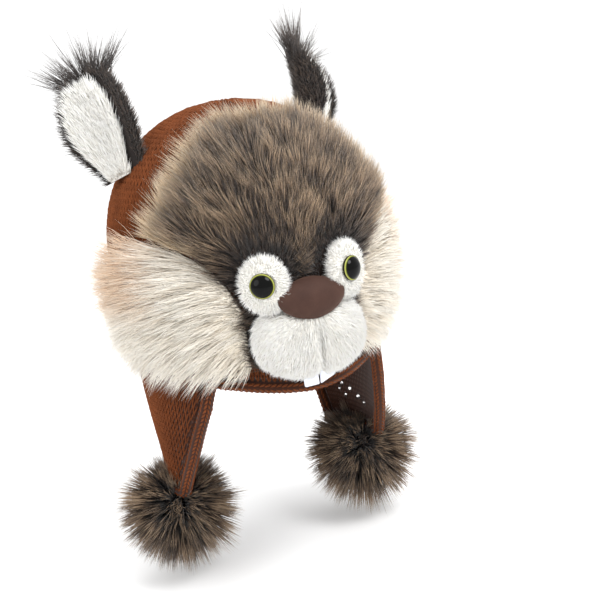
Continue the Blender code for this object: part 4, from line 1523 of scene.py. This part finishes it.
ear = {
    "length": 0.072,
    "width": 0.050,
    "thickness": 0.0065,
    "bow": 0.10,
    "start": 0.006,
    "root": 0.010,
    "liningThickness": 0.0040,
    "liningInset": 0.0030,
    "liningInsetFront": 0.0090,
    "seatGap": 0.0004,
    "along": (0.0, 0.18, 0.40, 0.60, 0.80, 0.93, 1.0),
    "half": (0.58, 0.76, 0.97, 1.0, 0.88, 0.66, 0.44),
    "right": {"side": -1, "turn": 91.0, "drop": 0.041, "facing": 48.0, "lean": 22.0, "curl": 42.0},
    "left": {"side": 1, "turn": 105.0, "drop": 0.048, "facing": 52.0, "lean": 17.0, "curl": 96.0},
}
earPile = {
    "perSquareMetre": 1000000.0,
    "length": 0.0062,
    "width": 0.00060,
    "segments": 1,
    "lean": 0.55,
    "frizz": 0.0018,
    "unevenness": 0.5,
    "lockSize": 0.004,
    "lockPull": 0.3,
    "seed": 31,
}
liningPile = {
    "perSquareMetre": 1500000.0,
    "length": 0.0075,
    "width": 0.00068,
    "segments": 1,
    "lean": 0.80,
    "frizz": 0.0012,
    "unevenness": 0.4,
    "lockSize": 0.006,
    "lockPull": 0.15,
    "seed": 35,
}
darkTones = {
    "plain": ((0.0, "#17110e"), (0.5, "#2f251f"), (1.0, "#4b3d34")),
    "tipped": ((0.0, "#1d1613"), (0.5, "#413429"), (1.0, "#6e5c4d")),
    "border": ((0.0, "#8a8176"), (1.0, "#cfc8bd")),
    "tipFrom": 0.9,
    "tipTo": 1.6,
}
darkPile = furMaterial("darkBrownShortPile", darkTones)
darkBacking = backingMaterial("darkKnitBacking", "#1c1512")


def earFrame(kind):
    root = onKnit(kind["side"] * kind["turn"], kind["drop"], -crown["wall"])
    facing, lean = radians(kind["side"] * kind["facing"]), radians(kind["lean"])
    out = Vector((sin(facing), -cos(facing), 0))
    sideways = Vector((kind["side"] * cos(radians(30)), 0.5, 0))
    along = (sin(lean) * sideways + cos(lean) * Vector((0, 0, 1))).normalized()
    along = (along - 0.6 * along.dot(out) * out).normalized()
    across = along.cross(out).normalized()
    out = across.cross(along).normalized()
    return Matrix.Translation(root) @ Matrix((across, along, out)).transposed().to_4x4()


def earLeaf(kind, inset, insetFront, low, high, end, columns, rows):
    frameOf = earFrame(kind)
    radius = ear["width"] / 2 / radians(kind["curl"])
    start, middle = ear["start"], (low + high) / 2
    points, marks = [], []
    for height, face in ((low, 0), (high, 1)):
        for j in range(rows):
            along = start + (end - start) * j / (rows - 1)
            bow = -ear["bow"] * ear["length"] * (along / ear["length"]) ** 2
            shown = (along - ear["root"]) / (ear["length"] - ear["root"])
            half = float(np.interp(shown, ear["along"], ear["half"])) * ear["width"] / 2
            front, back = half - insetFront, half - inset
            for i in range(columns):
                x = -kind["side"] * (front - (front + back) * i / (columns - 1))
                # the sheet thins towards its edges, as two sewn layers do
                level = min(i, columns - 1 - i, j + 4, rows - 1 - j) / 3.0
                thin = smooth(0.35 + 0.65 * min(level, 1.0))
                bent = radius - (middle + (height - middle) * thin)
                angle = x / radius
                points.append(frameOf @ Vector((bent * sin(angle), along, radius - bent * cos(angle) + bow)))
                marks.append((face, i / (columns - 1), j / (rows - 1)))
    return points, slabFaces(rows, columns), marks


def makeEar(name):
    kind = ear[name]
    turn = earFrame(kind).to_3x3()
    tip = (turn @ Vector((0, 1, 0))).normalized()
    across = (turn @ Vector((1, 0, 0))).normalized()

    def laid(u, fan):
        return (tip - fan * kind["side"] * (1 - 2 * u) * across).normalized()

    points, faces, marks = earLeaf(kind, 0.0, 0.0, -ear["thickness"], 0.0, ear["length"], 26, 34)
    hairs = []
    for point, (face, u, v) in zip(points, marks):
        underLining = face == 1 and 0.06 < u < 0.94 and v < 0.94
        pile = 1.0 if v < 0.8 else 1.0 + 0.5 * (v - 0.8) / 0.2
        hairs.append((point, laid(u, 0.55), 0.0 if underLining else 1.0, pile, 0.0))
    skin = furPiece("ear_back_pile_" + name, hairs, faces, darkBacking, darkPile, earPile, kind["side"])
    finishPiece(skin, "dark_fur", "ear_back_" + name)

    inset, insetFront = ear["liningInset"], ear["liningInsetFront"]
    low, high = ear["seatGap"] - 0.0006, ear["liningThickness"]
    points, faces, marks = earLeaf(kind, inset, insetFront, low, high, ear["length"] - inset, 22, 30)
    hairs = [(point, laid(u, 0.4), float(face), 1.0, 0.0) for point, (face, u, v) in zip(points, marks)]
    finishes = (plushBacking, plushPile)
    skin = furPiece("ear_lining_pile_" + name, hairs, faces, *finishes, liningPile, kind["side"])
    finishPiece(skin, "plush", "ear_lining_" + name)


tuft = {
    "locks": 30,
    "perLock": 17,
    "length": 0.041,
    "width": 0.00065,
    "segments": 3,
    "lean": 1.0,
    "frizz": 0.0030,
    "unevenness": 0.25,
    "lockSize": 0.05,
    "lockPull": 0.0,
    "fan": 1.05,
    "root": 0.007,
    "seed": 41,
}


def makeTuft(name):
    kind = ear[name]
    frameOf = earFrame(kind)
    turn = frameOf.to_3x3()
    rng = np.random.default_rng(tuft["seed"] + kind["side"])
    radius = ear["width"] / 2 / radians(kind["curl"])
    halfWide = ear["width"] / 2 * ear["half"][-1]
    points, lays, piles, shades = [], [], [], []
    for k in range(tuft["locks"]):
        spread = 2 * (k + 0.5) / tuft["locks"] - 1 + rng.normal(0, 0.05)
        angle = spread * halfWide / radius
        lockRoot = Vector((radius * sin(angle), ear["length"] - 0.004, radius - radius * cos(angle)))
        lockRoot.z += -ear["bow"] * ear["length"] - ear["thickness"] / 2
        lean = spread * tuft["fan"] + rng.normal(0, 0.12)
        tilt = rng.normal(0, 0.30)
        way = Vector((sin(lean), cos(lean), tilt)).normalized()
        length = tuft["length"] * rng.uniform(0.62, 1.08)
        tipOf = lockRoot + way * length
        for _ in range(tuft["perLock"]):
            shift = Vector((rng.normal(0, 0.0022), rng.uniform(-0.004, 0.001), rng.normal(0, 0.0016)))
            start = lockRoot + shift
            gathered = tipOf + Vector(rng.normal(0, 0.0011, 3))
            line = gathered - start
            points.append(frameOf @ start)
            lays.append((turn @ line).normalized())
            piles.append(line.length / tuft["length"] * rng.uniform(0.62, 1.05))
            shades.append(0.0)
    skin = makeObject("ear_tuft_hair_" + name, points, [], pile=piles, shade=shades, lay=lays)
    grow(skin, tuft, tuftPile, strandTree)
    return finishPiece(skin, "dark_fur", "ear_tuft_" + name)


tuftPile = furMaterial(
    "longDarkTuftHair",
    {
        "plain": ((0.0, "#15100e"), (0.5, "#2d2420"), (1.0, "#4a3d36")),
        "tipped": ((0.0, "#1a1411"), (0.5, "#3a2f2a"), (1.0, "#64564c")),
        "tipFrom": 0.9,
        "tipTo": 1.7,
    },
)
for sideName, sideSign in sideNames:
    makeEar(sideName)
    makeTuft(sideName)
print("ears done")

# Fur pompoms on the flaps' tips

pompom = {
    "diameter": 0.077,
    "core": 0.020,
    "seat": 0.75,
    "reach": 0.0095,
    "perSquareMetre": 1250000.0,
    "length": 0.0235,
    "width": 0.00095,
    "segments": 2,
    "lean": 0.15,
    "curve": 0.0,
    "sag": 0.12,
    "lockSize": 0.0065,
    "lockPull": 0.9,
    "lockSpread": 0.22,
    "frizz": 0.0035,
    "unevenness": 0.4,
    "seed": 51,
}
pompomPile = furMaterial(
    "brownPompomPile",
    {
        "plain": ((0.0, "#0d0a08"), (0.5, "#2a2019"), (0.8, "#4c3c30"), (1.0, "#6e5a48")),
        "tipped": ((0.0, "#120d0a"), (0.45, "#3b2e24"), (0.7, "#806a54"), (1.0, "#b9a184")),
        "tipFrom": 0.6,
        "tipTo": 1.3,
    },
)


def makePompom(name, side):
    middle = onFlap(side, 0.5, 1.0, -crown["wall"] / 2)
    down = (onFlap(side, 0.5, 1.0) - onFlap(side, 0.5, 0.9)).normalized()
    centre = middle + (pompom["reach"] + pompom["core"] * pompom["seat"]) * down
    rings, spokes = 16, 28
    points, hairs = [], []
    for j in range(1, rings):
        tilt = pi * j / rings
        for k in range(spokes):
            angle = 2 * pi * (k + 0.5 * (j % 2)) / spokes
            points.append(Vector((sin(tilt) * cos(angle), sin(tilt) * sin(angle), cos(tilt))))
    faces = gridFaces(rings - 1, spokes, wrap=True)
    points += [Vector((0, 0, 1)), Vector((0, 0, -1))]
    topmost, lowest = len(points) - 2, len(points) - 1
    last = (rings - 2) * spokes
    faces += fanFaces(topmost, 0, spokes) + fanFaces(lowest, last, spokes, turned=True)
    for way in points:
        lay = (way + 0.3 * Vector((way.y, -way.x, 0))).normalized()
        pile = 1.0 - 0.35 * fade(-way.dot(down), 0.7, 0.3)
        hairs.append((centre + pompom["core"] * way, lay, 1.0, pile, 0.0))
    skin = furPiece("pompom_hair_" + name, hairs, faces, darkBacking, pompomPile, pompom, side)
    return finishPiece(skin, "fur", "pompom_" + name)


for sideName, sideSign in sideNames:
    makePompom(sideName, sideSign)
print("pompoms done")

# Floor, light and camera

studio = {
    "floorSize": 6.0,
    "azimuth": -26.0,
    "elevation": 15.0,
    "roll": 7.0,
    "distance": 0.78,
    "scale": 1430.0,  # pixels of the photograph to a metre at the hat
    "skyStrength": 1.12,
}


def makeFloor():
    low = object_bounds()[0][2] - 0.0005
    size = studio["floorSize"] / 2
    points = [(-size, -size, low), (size, -size, low), (size, size, low), (-size, size, low)]
    made, tree, shader = newMaterial("palePaintedFloor", 0.9, specular=0.1)
    mottle = speckle(tree, objectPlace(tree), 3.0, 2.0)
    paint(tree, shader, mixed(tree, mottle, "#f6f6f6", "#fbfbfb"))
    floor = makeObject("studio_floor", points, [(0, 1, 2, 3)], made)


def addLight(name, place, aim, size, power, tone="#ffffff"):
    made = bpy.data.lights.new(name, "AREA")
    made.shape = "DISK"
    made.size = size
    made.energy = power
    made.color = colour(tone)[:3]
    holder = bpy.data.objects.new(name, made)
    holder.location = place
    holder.rotation_euler = (Vector(aim) - Vector(place)).to_track_quat("-Z", "Y").to_euler()
    scene.collection.objects.link(holder)


def makeStudio():
    azimuth, elevation, roll = (radians(studio[k]) for k in ("azimuth", "elevation", "roll"))
    ahead = -Vector((sin(azimuth) * cos(elevation), -cos(azimuth) * cos(elevation), sin(elevation)))
    level = ahead.cross(Vector((0, 0, 1))).normalized()
    upright = level.cross(ahead)
    across = cos(roll) * level - sin(roll) * upright
    upward = sin(roll) * level + cos(roll) * upright
    # the middle of the hat stands at (250, 300) of a 600 pixel picture
    target = Vector((0, 0, -0.1345)) + across * (50 / studio["scale"])
    made = bpy.data.cameras.new("photographCamera")
    made.lens = studio["scale"] * studio["distance"] / 600 * 36
    made.sensor_width = 36
    made.clip_start = 0.01
    camera = bpy.data.objects.new("photographCamera", made)
    camera.matrix_world = Matrix.Translation(target - ahead * studio["distance"]) @ Matrix(
        (across, upward, -ahead)
    ).transposed().to_4x4()
    scene.collection.objects.link(camera)
    scene.camera = camera
    aim = (0, 0, -0.12)
    addLight("softKey", target - ahead * 0.9 + across * 0.55 + upward * 0.9, aim, 0.7, 14.0)
    addLight("softFill", target - ahead * 0.9 - across * 1.0 + upward * 0.2, aim, 0.9, 5.0)
    addLight("topGlow", (0, 0.25, 1.1), aim, 0.9, 5.0)
    world = bpy.data.worlds.new("paleStudio")
    scene.world = world
    world.use_nodes = True
    ground = world.node_tree.nodes["Background"]
    ground.inputs["Color"].default_value = (1.0, 1.0, 1.0, 1.0)
    ground.inputs["Strength"].default_value = studio["skyStrength"]
    scene.view_settings.view_transform = "Standard"


makeFloor()
makeStudio()
print("studio done")
